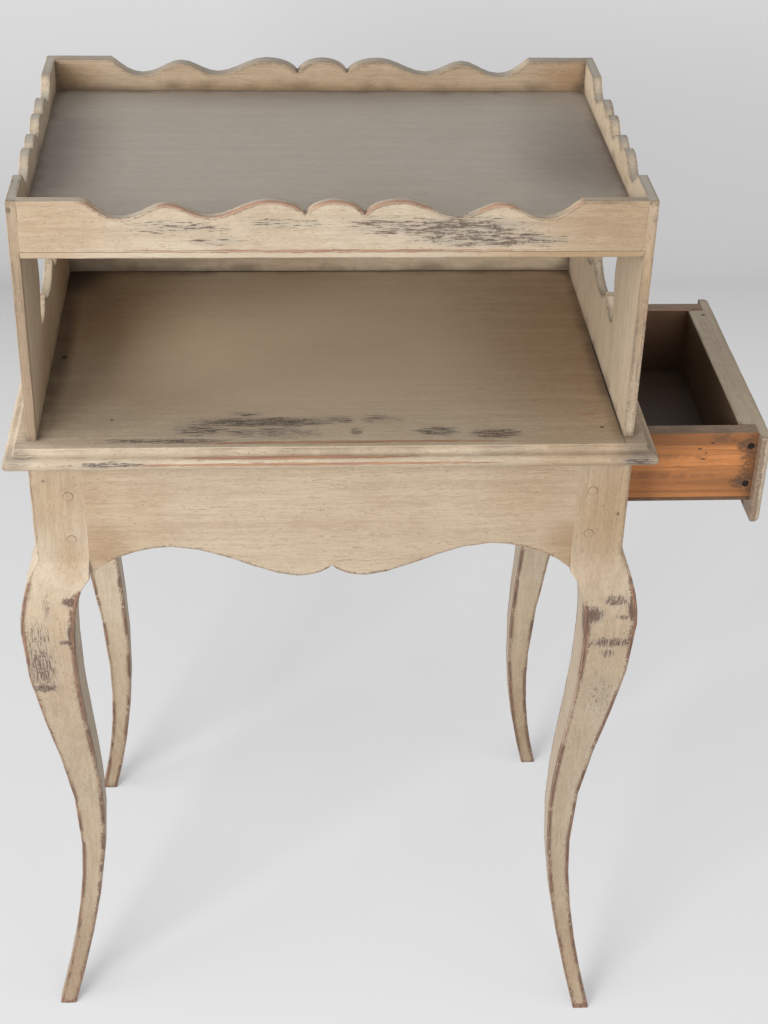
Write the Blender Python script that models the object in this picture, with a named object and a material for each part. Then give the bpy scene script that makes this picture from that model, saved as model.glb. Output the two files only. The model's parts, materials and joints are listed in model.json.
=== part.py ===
"""Galleried bedside table on cabriole legs, with an open niche and one drawer in its right side.

Metres, +Z up, the front of the niche faces -Y and the drawer slides along +X.
The drawer stands open, as it does when something is put in it.
"""

import math

import bmesh
import bpy
from mathutils import Matrix, Vector
from mathutils.geometry import interpolate_bezier

# Clearances
CLEAR = 0.0003  # between two pieces that touch
SIDE_PLAY = 0.0005  # drawer side to its guide
POST_PLAY = 0.0025  # drawer side to the post beside it
HEAD_ROOM = 0.0049  # above the drawer
WOOD_BETWEEN = 0.002  # left between two tenons, or two pegs, inside a post

# The frame, over the outer faces of its four posts
FRAME_WIDTH = 0.463
FRAME_DEPTH = 0.319
POST = 0.041
TOP_SURFACE = 0.6047  # floor of the niche above the ground
TOP_THICKNESS = 0.016
SIDE_OVERHANG = 0.017
FRONT_OVERHANG = 0.0155

# Cabriole leg: how far its face stands out from the post's face, and its square size, at each height
CORNER_DEPTH = 0.0884  # below the top of the frame, where the knee meets the post
KNEE_DEPTH = 0.1484
KNEE_BULGE = 0.0156
KNEE_SIZE = 0.0419
INNER_KNEE_DEPTH = 0.1734
ANKLE_HEIGHT = 0.180
ANKLE_HOLLOW = 0.016
ANKLE_SIZE = 0.0218
INNER_ANKLE_HEIGHT = 0.215
FOOT_FLARE = 0.0095
FOOT_SIZE = 0.0145
FOOT_SLOPE = 0.26  # run for rise, where the leg leaves the floor
REACH_FADES = 0.400  # a foot's own reach is gone at this height
# Hand-sawn legs: how much further out than its neighbours each foot stands, sideways and lengthways
FOOT_REACH = {
    "front_left": (0.0070, -0.0109),
    "front_right": (0.0027, 0.0133),
    "back_left": (-0.0117, -0.0129),
    "back_right": (-0.0026, 0.0144),
}

# Aprons: depths of the scalloped edge below the top of the frame, and its places along half an apron
APRON_THICKNESS = 0.020
ARCH_END_DEPTH = 0.1034
ARCH_CREST_DEPTH = 0.0784
LOBE_DEPTH = 0.1074
APRON_CUSP_DEPTH = 0.0979
CREST_SHARE = 0.656
LOBE_SHARE = 0.142

# Tenons and their pegs
TENON_THICKNESS = 0.008
TENON_SETBACK = 0.006  # from the apron's outer face
TENON_SHOULDER = 0.012  # above and below
TENON_ROOT = 0.005  # how deep the tenon starts inside its board
PEG_RADIUS = 0.00365
PEG_PROUD = 0.0003
PEG_SHARES = {"low": 0.27, "high": 0.77}  # of the tenon's height

# Drawer
DRAWER_OPEN = 0.110
DRAWER_DROP = 0.0678  # its bottom below the top of the frame
DRAWER_BACK_ROOM = 0.030  # left behind the closed drawer
DRAWER_SIDE = 0.0138
DRAWER_BACK = 0.010
BOTTOM_THICKNESS = 0.003
FRONT_THICKNESS = 0.0225
LIP_THICKNESS = 0.0085
LIP_OVERLAP = 0.0095  # past the drawer's sides
LIP_DROP = 0.0158  # below the drawer's bottom
LIP_ROUND = 0.0045
LIP_ROUND_STEPS = 4

# What carries the drawer
RAIL_WIDTH = 0.040
RAIL_THICKNESS = 0.013
RAIL_TENON_WIDTH = 0.016
RAIL_TENON_LENGTH = 0.012
RAIL_TENON_THICKNESS = 0.008
RUNNER_WIDTH = 0.041
RUNNER_THICKNESS = 0.010
GUIDE_HEIGHT = 0.035
BLOCK_LENGTH = 0.045
BLOCK_DEPTH = 0.022
BLOCK_HEIGHT = 0.030
BLOCK_SHARE = 0.58  # of the way from the middle to the post

# Moulded edge of the top, from its lower side up
NOSE_RADIUS = 0.0045
COVE_RADIUS = 0.004
FILLET_HEIGHT = 0.002
ARC_STEPS = 4

# Upper case
CASE_SIDE_SETBACK = 0.0005  # from the posts' faces
CASE_FRONT_SETBACK = 0.0051
NICHE_HEIGHT = 0.1496
PANEL_THICKNESS = 0.0075
BACK_THICKNESS = 0.012
BACK_SHRINKAGE = 0.0012  # gap at its right edge, where light shows through
TRAY_THICKNESS = 0.018
TRAY_LIP = 0.0049  # what the rebate leaves of the tray, under the gallery rail
GALLERY_RISE = 0.0257  # above the tray
GALLERY_THICKNESS = 0.0088
GALLERY_DIP = 0.013  # how far the scallops reach down

# Cartouche cut in each side panel
CUTOUT_RISE = 0.0953  # its middle above the niche's floor
CUTOUT_FORWARD = 0.004
CUTOUT_HALF_DEPTH = 0.067
CUTOUT_HALF_HEIGHT = 0.044
CUTOUT_WAIST_HOLLOW = 0.009
CUTOUT_LOBE_RADIUS = 0.012
CUTOUT_CUSP_SHARE = 0.49  # of the half depth
CUTOUT_CUSP_RISE = 0.014

# Nails: round-headed and forged
NAIL_HEAD_RADIUS = 0.0026
NAIL_HEAD_HEIGHT = 0.0012
NAIL_RADIUS = 0.0011
NAIL_LENGTH = 0.024
DRAWER_NAIL_INSET = 0.0050  # from the end of the drawer's side
DRAWER_NAIL_SHARES = {"low": 0.25, "high": 0.81}  # of the drawer's height
TRAY_NAIL_SHARE = 0.62  # of the way from the middle to the case's edge
BACK_NAIL_SHARES = {"low": 0.24, "high": 0.87}  # of the niche's height

# Faceting
CURVE_POINTS = 6
ROUND_SIDES = 16
SMOOTH_BELOW = math.radians(32)

# Worked out from the sizes above
POST_X = FRAME_WIDTH / 2
POST_Y = FRAME_DEPTH / 2
INNER_X = POST_X - POST
INNER_Y = POST_Y - POST
TOP_UNDERSIDE = TOP_SURFACE - TOP_THICKNESS
FRAME_TOP = TOP_UNDERSIDE - CLEAR
CORNER_HEIGHT = FRAME_TOP - CORNER_DEPTH
KNEE_HEIGHT = FRAME_TOP - KNEE_DEPTH
INNER_KNEE_HEIGHT = FRAME_TOP - INNER_KNEE_DEPTH
ARCH_END_HEIGHT = FRAME_TOP - ARCH_END_DEPTH
ARCH_CREST_HEIGHT = FRAME_TOP - ARCH_CREST_DEPTH
LOBE_HEIGHT = FRAME_TOP - LOBE_DEPTH
APRON_CUSP_HEIGHT = FRAME_TOP - APRON_CUSP_DEPTH
APRON_INSIDE_X = POST_X - APRON_THICKNESS
APRON_INSIDE_Y = POST_Y - APRON_THICKNESS
TENON_BOTTOM = ARCH_END_HEIGHT + TENON_SHOULDER
TENON_TOP = FRAME_TOP - TENON_SHOULDER
TENON_LENGTH = POST - TENON_SETBACK - TENON_THICKNESS - WOOD_BETWEEN
PEG_INSET = TENON_LENGTH / 2
PEG_LENGTH = POST - PEG_INSET - PEG_RADIUS - WOOD_BETWEEN
CASE_X = POST_X - CASE_SIDE_SETBACK
CASE_Y = POST_Y - CASE_FRONT_SETBACK
PANEL_X = CASE_X - PANEL_THICKNESS
BACK_FACE_Y = CASE_Y - BACK_THICKNESS
CASE_BOTTOM = TOP_SURFACE + CLEAR
TRAY_UNDERSIDE = TOP_SURFACE + NICHE_HEIGHT
TRAY_SURFACE = TRAY_UNDERSIDE + TRAY_THICKNESS
RAIL_SEAT = TRAY_UNDERSIDE + TRAY_LIP
GALLERY_TOP = TRAY_SURFACE + GALLERY_RISE
DRAWER_BOTTOM = FRAME_TOP - DRAWER_DROP
DRAWER_TOP = FRAME_TOP - HEAD_ROOM
DRAWER_Y = INNER_Y - POST_PLAY
DRAWER_END_X = DRAWER_BACK_ROOM - APRON_INSIDE_X
RUNNER_TOP = DRAWER_BOTTOM - CLEAR
LIP_X = POST_X + CLEAR  # back of the closed drawer's lip
GUIDE_Y = DRAWER_Y + SIDE_PLAY
X_SHIFT = -(LIP_X + LIP_THICKNESS + DRAWER_OPEN - POST_X - SIDE_OVERHANG) / 2  # centres the open table

# Colours (linear) and roughness
FINISHES = {
    "cream_paint": ((0.53, 0.44, 0.30), 0.62, 0.0),
    "grey_tray_paint": ((0.27, 0.24, 0.20), 0.50, 0.0),
    "orange_pine": ((0.42, 0.20, 0.085), 0.60, 0.0),
    "dark_pine": ((0.10, 0.06, 0.035), 0.75, 0.0),
    "peg_paint": ((0.50, 0.41, 0.28), 0.62, 0.0),
    "black_iron": ((0.03, 0.027, 0.025), 0.55, 0.8),
}


def clear_scene():
    for obj in list(bpy.data.objects):
        bpy.data.objects.remove(obj, do_unlink=True)


def new_collection(name, hidden=False):
    collection = bpy.data.collections.new(name)
    bpy.context.scene.collection.children.link(collection)
    collection.hide_render = hidden
    return collection


def finish(obj, name):
    """Gives the piece a material of its own."""
    colour, roughness, metallic = FINISHES[name]
    material = bpy.data.materials.new(obj.name + "_" + name)
    material.use_nodes = True
    shader = material.node_tree.nodes["Principled BSDF"]
    shader.inputs["Base Color"].default_value = (*colour, 1)
    shader.inputs["Roughness"].default_value = roughness
    shader.inputs["Metallic"].default_value = metallic
    material.diffuse_color = (*colour, 1)
    obj.data.materials.clear()
    obj.data.materials.append(material)


def new_object(name, mesh, parent, collection):
    obj = bpy.data.objects.new(name, mesh)
    collection.objects.link(obj)
    obj.parent = parent
    return obj


def mesh_from(bm, name):
    bmesh.ops.recalc_face_normals(bm, faces=bm.faces)
    mesh = bpy.data.meshes.new(name)
    bm.to_mesh(mesh)
    bm.free()
    return mesh


def box_mesh(name, size):
    bm = bmesh.new()
    bmesh.ops.create_cube(bm, size=1, matrix=Matrix.Diagonal((*size, 1)))
    return mesh_from(bm, name)


def box(name, low, high, parent, collection):
    """A box between two corners, with its origin in its middle."""
    low, high = Vector(low), Vector(high)
    obj = new_object(name, box_mesh(name, high - low), parent, collection)
    obj.location = (low + high) / 2
    return obj


def trace(start, *steps):
    """Points along an outline. A step is a line's end, or a curve's two handles and its end."""
    points = [Vector(start).to_3d()]
    for step in steps:
        if isinstance(step[0], tuple):
            first, second, end = [Vector(point).to_3d() for point in step]
            points += interpolate_bezier(points[-1], first, second, end, CURVE_POINTS)[1:]
        else:
            points.append(Vector(step).to_3d())
    return [(point.x, point.y) for point in points]


def mirrored(half):
    """The half outline, from the middle outwards, and its mirror image before it."""
    other = [(-x, y) for x, y in reversed(half)]
    return other + [point for point in half if point[0] > 0]


TURNS = {
    "XY": (0, 0, 0),
    "XZ": (math.pi / 2, 0, 0),
    "YZ": (math.pi / 2, 0, math.pi / 2),
}


def board(name, plane, outlines, thickness, centre, parent, collection):
    """A board cut to outlines drawn in a plane of the table, centred across its thickness.

    The second and later outlines are openings. It is drawn as a 2D curve and made a mesh.
    """
    curve = bpy.data.curves.new(name, "CURVE")
    curve.dimensions = "2D"
    curve.fill_mode = "BOTH"
    curve.extrude = thickness / 2
    for outline in outlines:
        spline = curve.splines.new("POLY")
        spline.points.add(len(outline) - 1)
        for point, (across, up) in zip(spline.points, outline):
            point.co = (across, up, 0, 1)
        spline.use_cyclic_u = True
    drawn = bpy.data.objects.new(name + "_outline", curve)
    collection.objects.link(drawn)
    bpy.context.view_layer.update()
    graph = bpy.context.evaluated_depsgraph_get()
    mesh = bpy.data.meshes.new_from_object(drawn.evaluated_get(graph))
    bpy.data.objects.remove(drawn)
    bpy.data.curves.remove(curve)
    bm = bmesh.new()
    bm.from_mesh(mesh)
    bmesh.ops.remove_doubles(bm, verts=bm.verts, dist=1e-6)
    bmesh.ops.recalc_face_normals(bm, faces=bm.faces)
    bm.to_mesh(mesh)
    bm.free()
    mesh.name = name
    mesh.shade_smooth()
    mesh.set_sharp_from_angle(angle=SMOOTH_BELOW)
    obj = new_object(name, mesh, parent, collection)
    obj.rotation_euler = TURNS[plane]
    obj.location = centre
    return obj


def turned_mesh(name, profile):
    """A round pin spun from its half profile, top to bottom, as distances from the axis and heights."""
    bm = bmesh.new()
    verts = [bm.verts.new((radius, 0, height)) for radius, height in profile]
    edges = [bm.edges.new(pair) for pair in zip(verts, verts[1:])]
    bmesh.ops.spin(
        bm, geom=verts + edges, axis=(0, 0, 1), angle=math.tau, steps=ROUND_SIDES, use_merge=True
    )
    bmesh.ops.remove_doubles(bm, verts=bm.verts, dist=1e-6)
    return mesh_from(bm, name)


def cut(target, cutter, operation="DIFFERENCE"):
    modifier = target.modifiers.new(cutter.name, "BOOLEAN")
    modifier.operation = operation
    modifier.solver = "EXACT"
    modifier.object = cutter


def as_cutter(obj):
    obj.hide_render = True
    obj.display_type = "WIRE"
    return obj


def aimed(direction):
    """Turns an upright pin so that its head faces the direction."""
    return Vector(direction).to_track_quat("Z", "Y").to_euler()


def peg_profile(grown):
    """A peg from its head, a little proud of the face at 0, to its blunt end."""
    radius = PEG_RADIUS + grown
    head = PEG_PROUD + grown
    tip = -PEG_LENGTH - grown
    return [(0, head), (radius, head), (radius, tip), (0, tip)]


def nail_profile(grown):
    """A nail from its head, level with the face at 0, to its blunt tip."""
    head = NAIL_HEAD_RADIUS + grown
    shank = NAIL_RADIUS + grown
    tip = -NAIL_LENGTH - grown
    neck = -NAIL_HEAD_HEIGHT - grown
    taper = 0.8 * tip
    point = 0.6 * shank
    return [(0, grown), (head, grown), (head, neck), (shank, neck), (shank, taper), (point, tip), (0, tip)]


class Table:
    """The collections, empties and shared meshes that the pieces are made with."""

    def __init__(self):
        self.pieces = new_collection("bedside_table")
        self.cutters = new_collection("cutters", hidden=True)
        self.frame = self.empty("table", None, (X_SHIFT, 0, 0))
        self.drawer = self.empty("drawer", self.frame, (DRAWER_OPEN, 0, 0))
        self.peg_shapes = (
            turned_mesh("peg", peg_profile(0)),
            turned_mesh("peg_hole", peg_profile(CLEAR)),
        )
        self.nail_shapes = (
            turned_mesh("nail", nail_profile(0)),
            turned_mesh("nail_hole", nail_profile(CLEAR)),
        )

    def empty(self, name, parent, location):
        obj = new_object(name, None, parent, self.pieces)
        obj.location = location
        return obj

    def box(self, name, low, high, material, parent=None):
        obj = box(name, low, high, parent or self.frame, self.pieces)
        finish(obj, material)
        return obj

    def board(self, name, plane, outlines, thickness, centre, material, parent=None):
        obj = board(name, plane, outlines, thickness, centre, parent or self.frame, self.pieces)
        finish(obj, material)
        return obj

    def box_cutter(self, name, low, high, parent=None):
        return as_cutter(box(name, low, high, parent or self.frame, self.cutters))

    def pin(self, name, shapes, material, place, direction, parent, targets):
        """A peg or nail with its head at a place on a face, and its hole in each piece it holds."""
        obj = new_object(name, shapes[0].copy(), parent, self.pieces)
        hollow = as_cutter(new_object(name + "_hole", shapes[1], parent, self.cutters))
        for each in (obj, hollow):
            each.location = place
            each.rotation_euler = aimed(direction)
        for target in targets:
            cut(target, hollow)
        finish(obj, material)

    def peg(self, name, place, direction, targets):
        self.pin(name, self.peg_shapes, "peg_paint", place, direction, self.frame, targets)

    def nail(self, name, place, direction, parent, targets):
        self.pin(name, self.nail_shapes, "black_iron", place, direction, parent, targets)


def leg_outline(reach):
    """One face of a cabriole leg: distance out from the post's face, against height."""

    def at(out, height):
        fade = max(0.0, 1 - height / REACH_FADES) ** 1.5
        return (out + reach * fade, height)

    low = ANKLE_HEIGHT / 3
    calf = KNEE_HEIGHT - ANKLE_HEIGHT
    knee = CORNER_HEIGHT - KNEE_HEIGHT
    inner_calf = INNER_KNEE_HEIGHT - INNER_ANKLE_HEIGHT
    inner_knee = ARCH_END_HEIGHT - INNER_KNEE_HEIGHT
    inside_ankle = -ANKLE_HOLLOW - ANKLE_SIZE
    inside_knee = KNEE_BULGE - KNEE_SIZE
    inside_foot = FOOT_FLARE - FOOT_SIZE
    foot_to_ankle = (
        at(FOOT_FLARE - FOOT_SLOPE * low, low),
        at(-ANKLE_HOLLOW, 2 * low),
        at(-ANKLE_HOLLOW, ANKLE_HEIGHT),
    )
    ankle_to_knee = (
        at(-ANKLE_HOLLOW, ANKLE_HEIGHT + 0.39 * calf),
        at(KNEE_BULGE, KNEE_HEIGHT - 0.33 * calf),
        at(KNEE_BULGE, KNEE_HEIGHT),
    )
    knee_to_corner = (
        at(KNEE_BULGE, KNEE_HEIGHT + 0.37 * knee),
        at(KNEE_BULGE / 2, CORNER_HEIGHT - 0.23 * knee),
        at(0, CORNER_HEIGHT),
    )
    arch_to_inside_knee = (
        at(inside_knee - 0.002, ARCH_END_HEIGHT - 0.15 * inner_knee),
        at(inside_knee, INNER_KNEE_HEIGHT + 0.47 * inner_knee),
        at(inside_knee, INNER_KNEE_HEIGHT),
    )
    inside_knee_to_ankle = (
        at(inside_knee, INNER_KNEE_HEIGHT - 0.35 * inner_calf),
        at(inside_ankle, INNER_ANKLE_HEIGHT + 0.35 * inner_calf),
        at(inside_ankle, INNER_ANKLE_HEIGHT),
    )
    inside_ankle_to_foot = (
        at(inside_ankle, 0.63 * INNER_ANKLE_HEIGHT),
        at(inside_foot - FOOT_SLOPE * low, low),
        at(inside_foot, 0),
    )
    return trace(
        at(FOOT_FLARE, 0),
        foot_to_ankle,
        ankle_to_knee,
        knee_to_corner,
        at(0, FRAME_TOP),
        at(-POST, FRAME_TOP),
        at(-POST, ARCH_END_HEIGHT),
        arch_to_inside_knee,
        inside_knee_to_ankle,
        inside_ankle_to_foot,
    )


def leg(table, name, side_x, side_y):
    """Band-sawn from two faces of one square blank: the shape both outlines share."""
    reach_x, reach_y = FOOT_REACH[name]
    blank = 4 * POST
    centre = (side_x * POST_X, side_y * POST_Y)
    across = [(side_x * (POST_X + out), up) for out, up in leg_outline(reach_x)]
    along = [(side_y * (POST_Y + out), up) for out, up in leg_outline(reach_y)]
    piece = table.board("leg_" + name, "XZ", [across], blank, (0, centre[1], 0), "cream_paint")
    other = board(
        "leg_saw_" + name, "YZ", [along], blank, (centre[0], 0, 0), table.frame, table.cutters
    )
    cut(piece, as_cutter(other), "INTERSECT")
    return piece


def apron_outline(half_length):
    """Half of an apron, from its middle: cusp, lobe and arch below, straight above."""
    crest = CREST_SHARE * half_length
    lobe = LOBE_SHARE * half_length
    shoulder = half_length - crest
    swell = crest - lobe
    cusp_to_lobe = (
        (0.19 * lobe, APRON_CUSP_HEIGHT - 0.6 * (APRON_CUSP_HEIGHT - LOBE_HEIGHT)),
        (0.59 * lobe, LOBE_HEIGHT),
        (lobe, LOBE_HEIGHT),
    )
    lobe_to_crest = (
        (lobe + 0.26 * swell, LOBE_HEIGHT),
        (crest - 0.34 * swell, ARCH_CREST_HEIGHT),
        (crest, ARCH_CREST_HEIGHT),
    )
    crest_to_end = (
        (crest + 0.38 * shoulder, ARCH_CREST_HEIGHT),
        (half_length - 0.22 * shoulder, ARCH_END_HEIGHT + 0.016),
        (half_length, ARCH_END_HEIGHT),
    )
    end = (half_length, FRAME_TOP)
    return trace((0, APRON_CUSP_HEIGHT), cusp_to_lobe, lobe_to_crest, crest_to_end, end)


def tenon_box(plane, end, side, face, grown):
    """Corners of an apron's tenon at one end, or of its mortise when grown by the clearance."""
    outer = face - TENON_SETBACK + grown
    inner = face - TENON_SETBACK - TENON_THICKNESS - grown
    half = end_of_apron(plane)
    along = sorted((end * (half - TENON_ROOT), end * (half + TENON_LENGTH + grown)))
    across = sorted((side * inner, side * outer))
    low, high = zip(along, across, (TENON_BOTTOM - grown, TENON_TOP + grown))
    return [(x, y, z) if plane == "XZ" else (y, x, z) for x, y, z in (low, high)]


def end_of_apron(plane):
    return (INNER_X if plane == "XZ" else INNER_Y) - CLEAR


def apron(table, name, plane, side, ends, legs):
    """An apron between two legs, with a pegged tenon at each end.

    It stands in a plane of the table, on its negative or positive side, and its ends have names.
    """
    face = POST_Y if plane == "XZ" else POST_X
    half = end_of_apron(plane)
    middle = side * (face - APRON_THICKNESS / 2)
    centre = (0, middle, 0) if plane == "XZ" else (middle, 0, 0)
    outline = mirrored(apron_outline(half))
    piece = table.board(name, plane, [outline], APRON_THICKNESS, centre, "cream_paint")
    for (end_name, end), post in zip(ends.items(), legs):
        tenon = tenon_box(plane, end, side, face, 0)
        cut(piece, table.box_cutter(f"{name}_tenon_{end_name}", *tenon), "UNION")
        mortise = tenon_box(plane, end, side, face, CLEAR)
        cut(post, table.box_cutter(f"{name}_mortise_{end_name}", *mortise))
        for level, share in PEG_SHARES.items():
            height = TENON_BOTTOM + share * (TENON_TOP - TENON_BOTTOM)
            along = end * (half + CLEAR + PEG_INSET)
            place = (along, side * face, height) if plane == "XZ" else (side * face, along, height)
            direction = (0, side, 0) if plane == "XZ" else (side, 0, 0)
            table.peg(f"peg_{name}_{end_name}_{level}", place, direction, (post, piece))


def drawer_rail(table, legs):
    """The rail below the drawer's mouth, tenoned between the right legs."""
    half = INNER_Y - CLEAR
    low = (INNER_X, -half, RUNNER_TOP - RAIL_THICKNESS)
    high = (INNER_X + RAIL_WIDTH, half, RUNNER_TOP)
    piece = table.box("drawer_rail", low, high, "cream_paint")
    x = INNER_X + RAIL_WIDTH / 2
    z = RUNNER_TOP - RAIL_THICKNESS / 2
    for end, post in zip((-1, 1), legs):
        for grown, target, operation in ((0, piece, "UNION"), (CLEAR, post, "DIFFERENCE")):
            reach = sorted((end * (half - TENON_ROOT), end * (half + RAIL_TENON_LENGTH + grown)))
            wide = RAIL_TENON_WIDTH / 2 + grown
            thick = RAIL_TENON_THICKNESS / 2 + grown
            low = (x - wide, reach[0], z - thick)
            high = (x + wide, reach[1], z + thick)
            cutter = table.box_cutter(f"rail_{operation}_{post.name}".lower(), low, high)
            cut(target, cutter, operation)


def runner(table, name, side):
    """A strip under the drawer's side, notched round the left post."""
    outside = APRON_INSIDE_Y - CLEAR
    inside = outside - RUNNER_WIDTH
    left = CLEAR - APRON_INSIDE_X
    right = INNER_X - CLEAR
    notch = (CLEAR - INNER_X, INNER_Y - CLEAR)
    outline = [
        (left, inside),
        (right, inside),
        (right, outside),
        (notch[0], outside),
        notch,
        (left, notch[1]),
    ]
    outline = [(x, side * y) for x, y in outline]
    centre = (0, 0, RUNNER_TOP - RUNNER_THICKNESS / 2)
    table.board(name, "XY", [outline], RUNNER_THICKNESS, centre, "dark_pine")


def guide(table, name, side):
    """A strip that keeps the drawer's side in line, standing on its runner between the posts."""
    reach = sorted((side * GUIDE_Y, side * (APRON_INSIDE_Y - CLEAR)))
    end = INNER_X - CLEAR
    bottom = RUNNER_TOP + CLEAR
    low = (-end, reach[0], bottom)
    table.box(name, low, (end, reach[1], bottom + GUIDE_HEIGHT), "dark_pine")


def glue_block(table, name, side_x, side_y):
    """A block in the corner between an apron and the top."""
    x = side_x * BLOCK_SHARE * INNER_X
    outside = APRON_INSIDE_Y - CLEAR
    reach = sorted((side_y * (outside - BLOCK_DEPTH), side_y * outside))
    low = (x - BLOCK_LENGTH / 2, reach[0], FRAME_TOP - BLOCK_HEIGHT)
    table.box(name, low, (x + BLOCK_LENGTH / 2, reach[1], FRAME_TOP), "dark_pine")


def arc_steps(radius, hollow=False):
    """Inset and rise of each step of a quarter round, which starts upright unless it is hollow."""
    turns = [math.pi / 2 * step / ARC_STEPS for step in range(ARC_STEPS + 1)]
    places = [(1 - math.cos(turn), math.sin(turn)) for turn in turns]
    if hollow:
        places = [(rise, inset) for inset, rise in places]
    steps = zip(places, places[1:])
    return [(radius * (after[0] - before[0]), radius * (after[1] - before[1])) for before, after in steps]


def inset_face(bm, upward, steps):
    """Pulls the uppermost or lowermost face out by each step's rise, and in by its inset."""
    for inset, rise in steps:
        bm.faces.ensure_lookup_table()
        face = max(bm.faces, key=lambda each: upward * each.normal.z * abs(each.calc_center_median().z))
        bmesh.ops.inset_region(bm, faces=[face], thickness=inset, depth=rise, use_even_offset=True)


def table_top(table):
    """The top with its moulded edge: a rounded nose, a cove and a small fillet above."""
    band = TOP_THICKNESS - 2 * NOSE_RADIUS - COVE_RADIUS - FILLET_HEIGHT
    size = (2 * (POST_X + SIDE_OVERHANG), 2 * (POST_Y + FRONT_OVERHANG), band)
    bm = bmesh.new()
    bmesh.ops.create_cube(bm, size=1, matrix=Matrix.Diagonal((*size, 1)))
    bm.normal_update()
    above = arc_steps(NOSE_RADIUS) + arc_steps(COVE_RADIUS, hollow=True) + [(0, FILLET_HEIGHT)]
    inset_face(bm, 1, above)
    inset_face(bm, -1, arc_steps(NOSE_RADIUS))
    obj = new_object("table_top", mesh_from(bm, "table_top"), table.frame, table.pieces)
    obj.location.z = TOP_UNDERSIDE + NOSE_RADIUS + band / 2
    obj.data.shade_smooth()
    obj.data.set_sharp_from_angle(angle=SMOOTH_BELOW)
    finish(obj, "cream_paint")
    return obj


def gallery_edge(half_width):
    """Half of the long gallery's upper edge, from its middle crest to its flat end."""

    def at(share, drop):
        return (share * half_width, GALLERY_TOP - drop * GALLERY_DIP)

    return trace(
        at(0, 0.04),
        (at(0.045, 0.04), at(0.081, 0.38), at(0.094, 0.81)),
        (at(0.116, 0.27), at(0.161, 0.04), at(0.215, 0.04)),
        (at(0.278, 0.04), at(0.331, 0.96), at(0.396, 0.96)),
        (at(0.448, 0.96), at(0.484, 0.23), at(0.533, 0.23)),
        (at(0.582, 0.23), at(0.618, 1.04), at(0.679, 1.04)),
        (at(0.730, 1.04), at(0.766, 0.31), at(0.793, 0)),
        at(1, 0),
    )


def side_gallery_edge():
    """Half of the side gallery's upper edge, from the low in its middle to its flat end."""

    def at(share, drop):
        return (share * CASE_Y, GALLERY_TOP - drop * GALLERY_DIP)

    return trace(
        at(0, 1),
        (at(0.045, 1), at(0.071, 0.23), at(0.130, 0.23)),
        (at(0.168, 0.23), at(0.214, 0.38), at(0.233, 0.69)),
        (at(0.259, 0.31), at(0.304, 0.15), at(0.356, 0.15)),
        (at(0.427, 0.15), at(0.453, 1), at(0.544, 1)),
        (at(0.615, 1), at(0.648, 0.31), at(0.686, 0)),
        at(1, 0),
    )


def gallery_board(table, name, half_widths, bottom, thickness, face):
    """A board of the case that runs from side to side and ends in the scalloped gallery."""
    left, right = [gallery_edge(half) for half in half_widths]
    outline = [(-x, up) for x, up in reversed(left)] + right[1:]
    outline += [(half_widths[1], bottom), (-half_widths[0], bottom)]
    centre = (0, face + thickness / 2, 0)
    return table.board(name, "XZ", [outline], thickness, centre, "cream_paint")


def cutout():
    """The cartouche in a side panel: lobed above and below, narrower at its middle."""
    wide = CUTOUT_HALF_DEPTH
    bottom = -CUTOUT_HALF_HEIGHT
    waist = wide - CUTOUT_WAIST_HOLLOW
    lobe = wide - CUTOUT_LOBE_RADIUS
    cusp = CUTOUT_CUSP_SHARE * wide
    rise = CUTOUT_CUSP_RISE
    span = lobe - cusp
    quarter = trace(
        (0, bottom),
        ((0.40 * cusp, bottom), (0.85 * cusp, bottom + 0.45 * rise), (cusp, bottom + rise)),
        ((cusp + 0.15 * span, bottom + 0.4 * rise), (lobe - 0.45 * span, bottom), (lobe, bottom)),
        ((lobe + 0.6 * (wide - lobe), bottom), (wide, 0.93 * bottom), (wide, 0.78 * bottom)),
        ((wide, 0.55 * bottom), (waist, 0.32 * bottom), (waist, 0)),
    )
    right = quarter + [(x, -up) for x, up in reversed(quarter[:-1])]
    left = [(-x, up) for x, up in reversed(right[1:-1])]
    return [(x - CUTOUT_FORWARD, up + TOP_SURFACE + CUTOUT_RISE) for x, up in right + left]


def side_panel(table, name, side):
    outline = mirrored(side_gallery_edge()) + [(CASE_Y, CASE_BOTTOM), (-CASE_Y, CASE_BOTTOM)]
    centre = (side * (PANEL_X + PANEL_THICKNESS / 2), 0, 0)
    outlines = [outline, cutout()]
    return table.board(name, "YZ", outlines, PANEL_THICKNESS, centre, "cream_paint")


def tray(table):
    """The tray's board, rebated along its front edge for the gallery rail."""
    front = -CASE_Y
    back = BACK_FACE_Y - CLEAR
    rebate = front + GALLERY_THICKNESS + CLEAR
    outline = [
        (front, TRAY_UNDERSIDE),
        (back, TRAY_UNDERSIDE),
        (back, TRAY_SURFACE),
        (rebate, TRAY_SURFACE),
        (rebate, RAIL_SEAT),
        (front, RAIL_SEAT),
    ]
    length = 2 * (PANEL_X - CLEAR)
    return table.board("tray_board", "YZ", [outline], length, (0, 0, 0), "grey_tray_paint")


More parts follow.
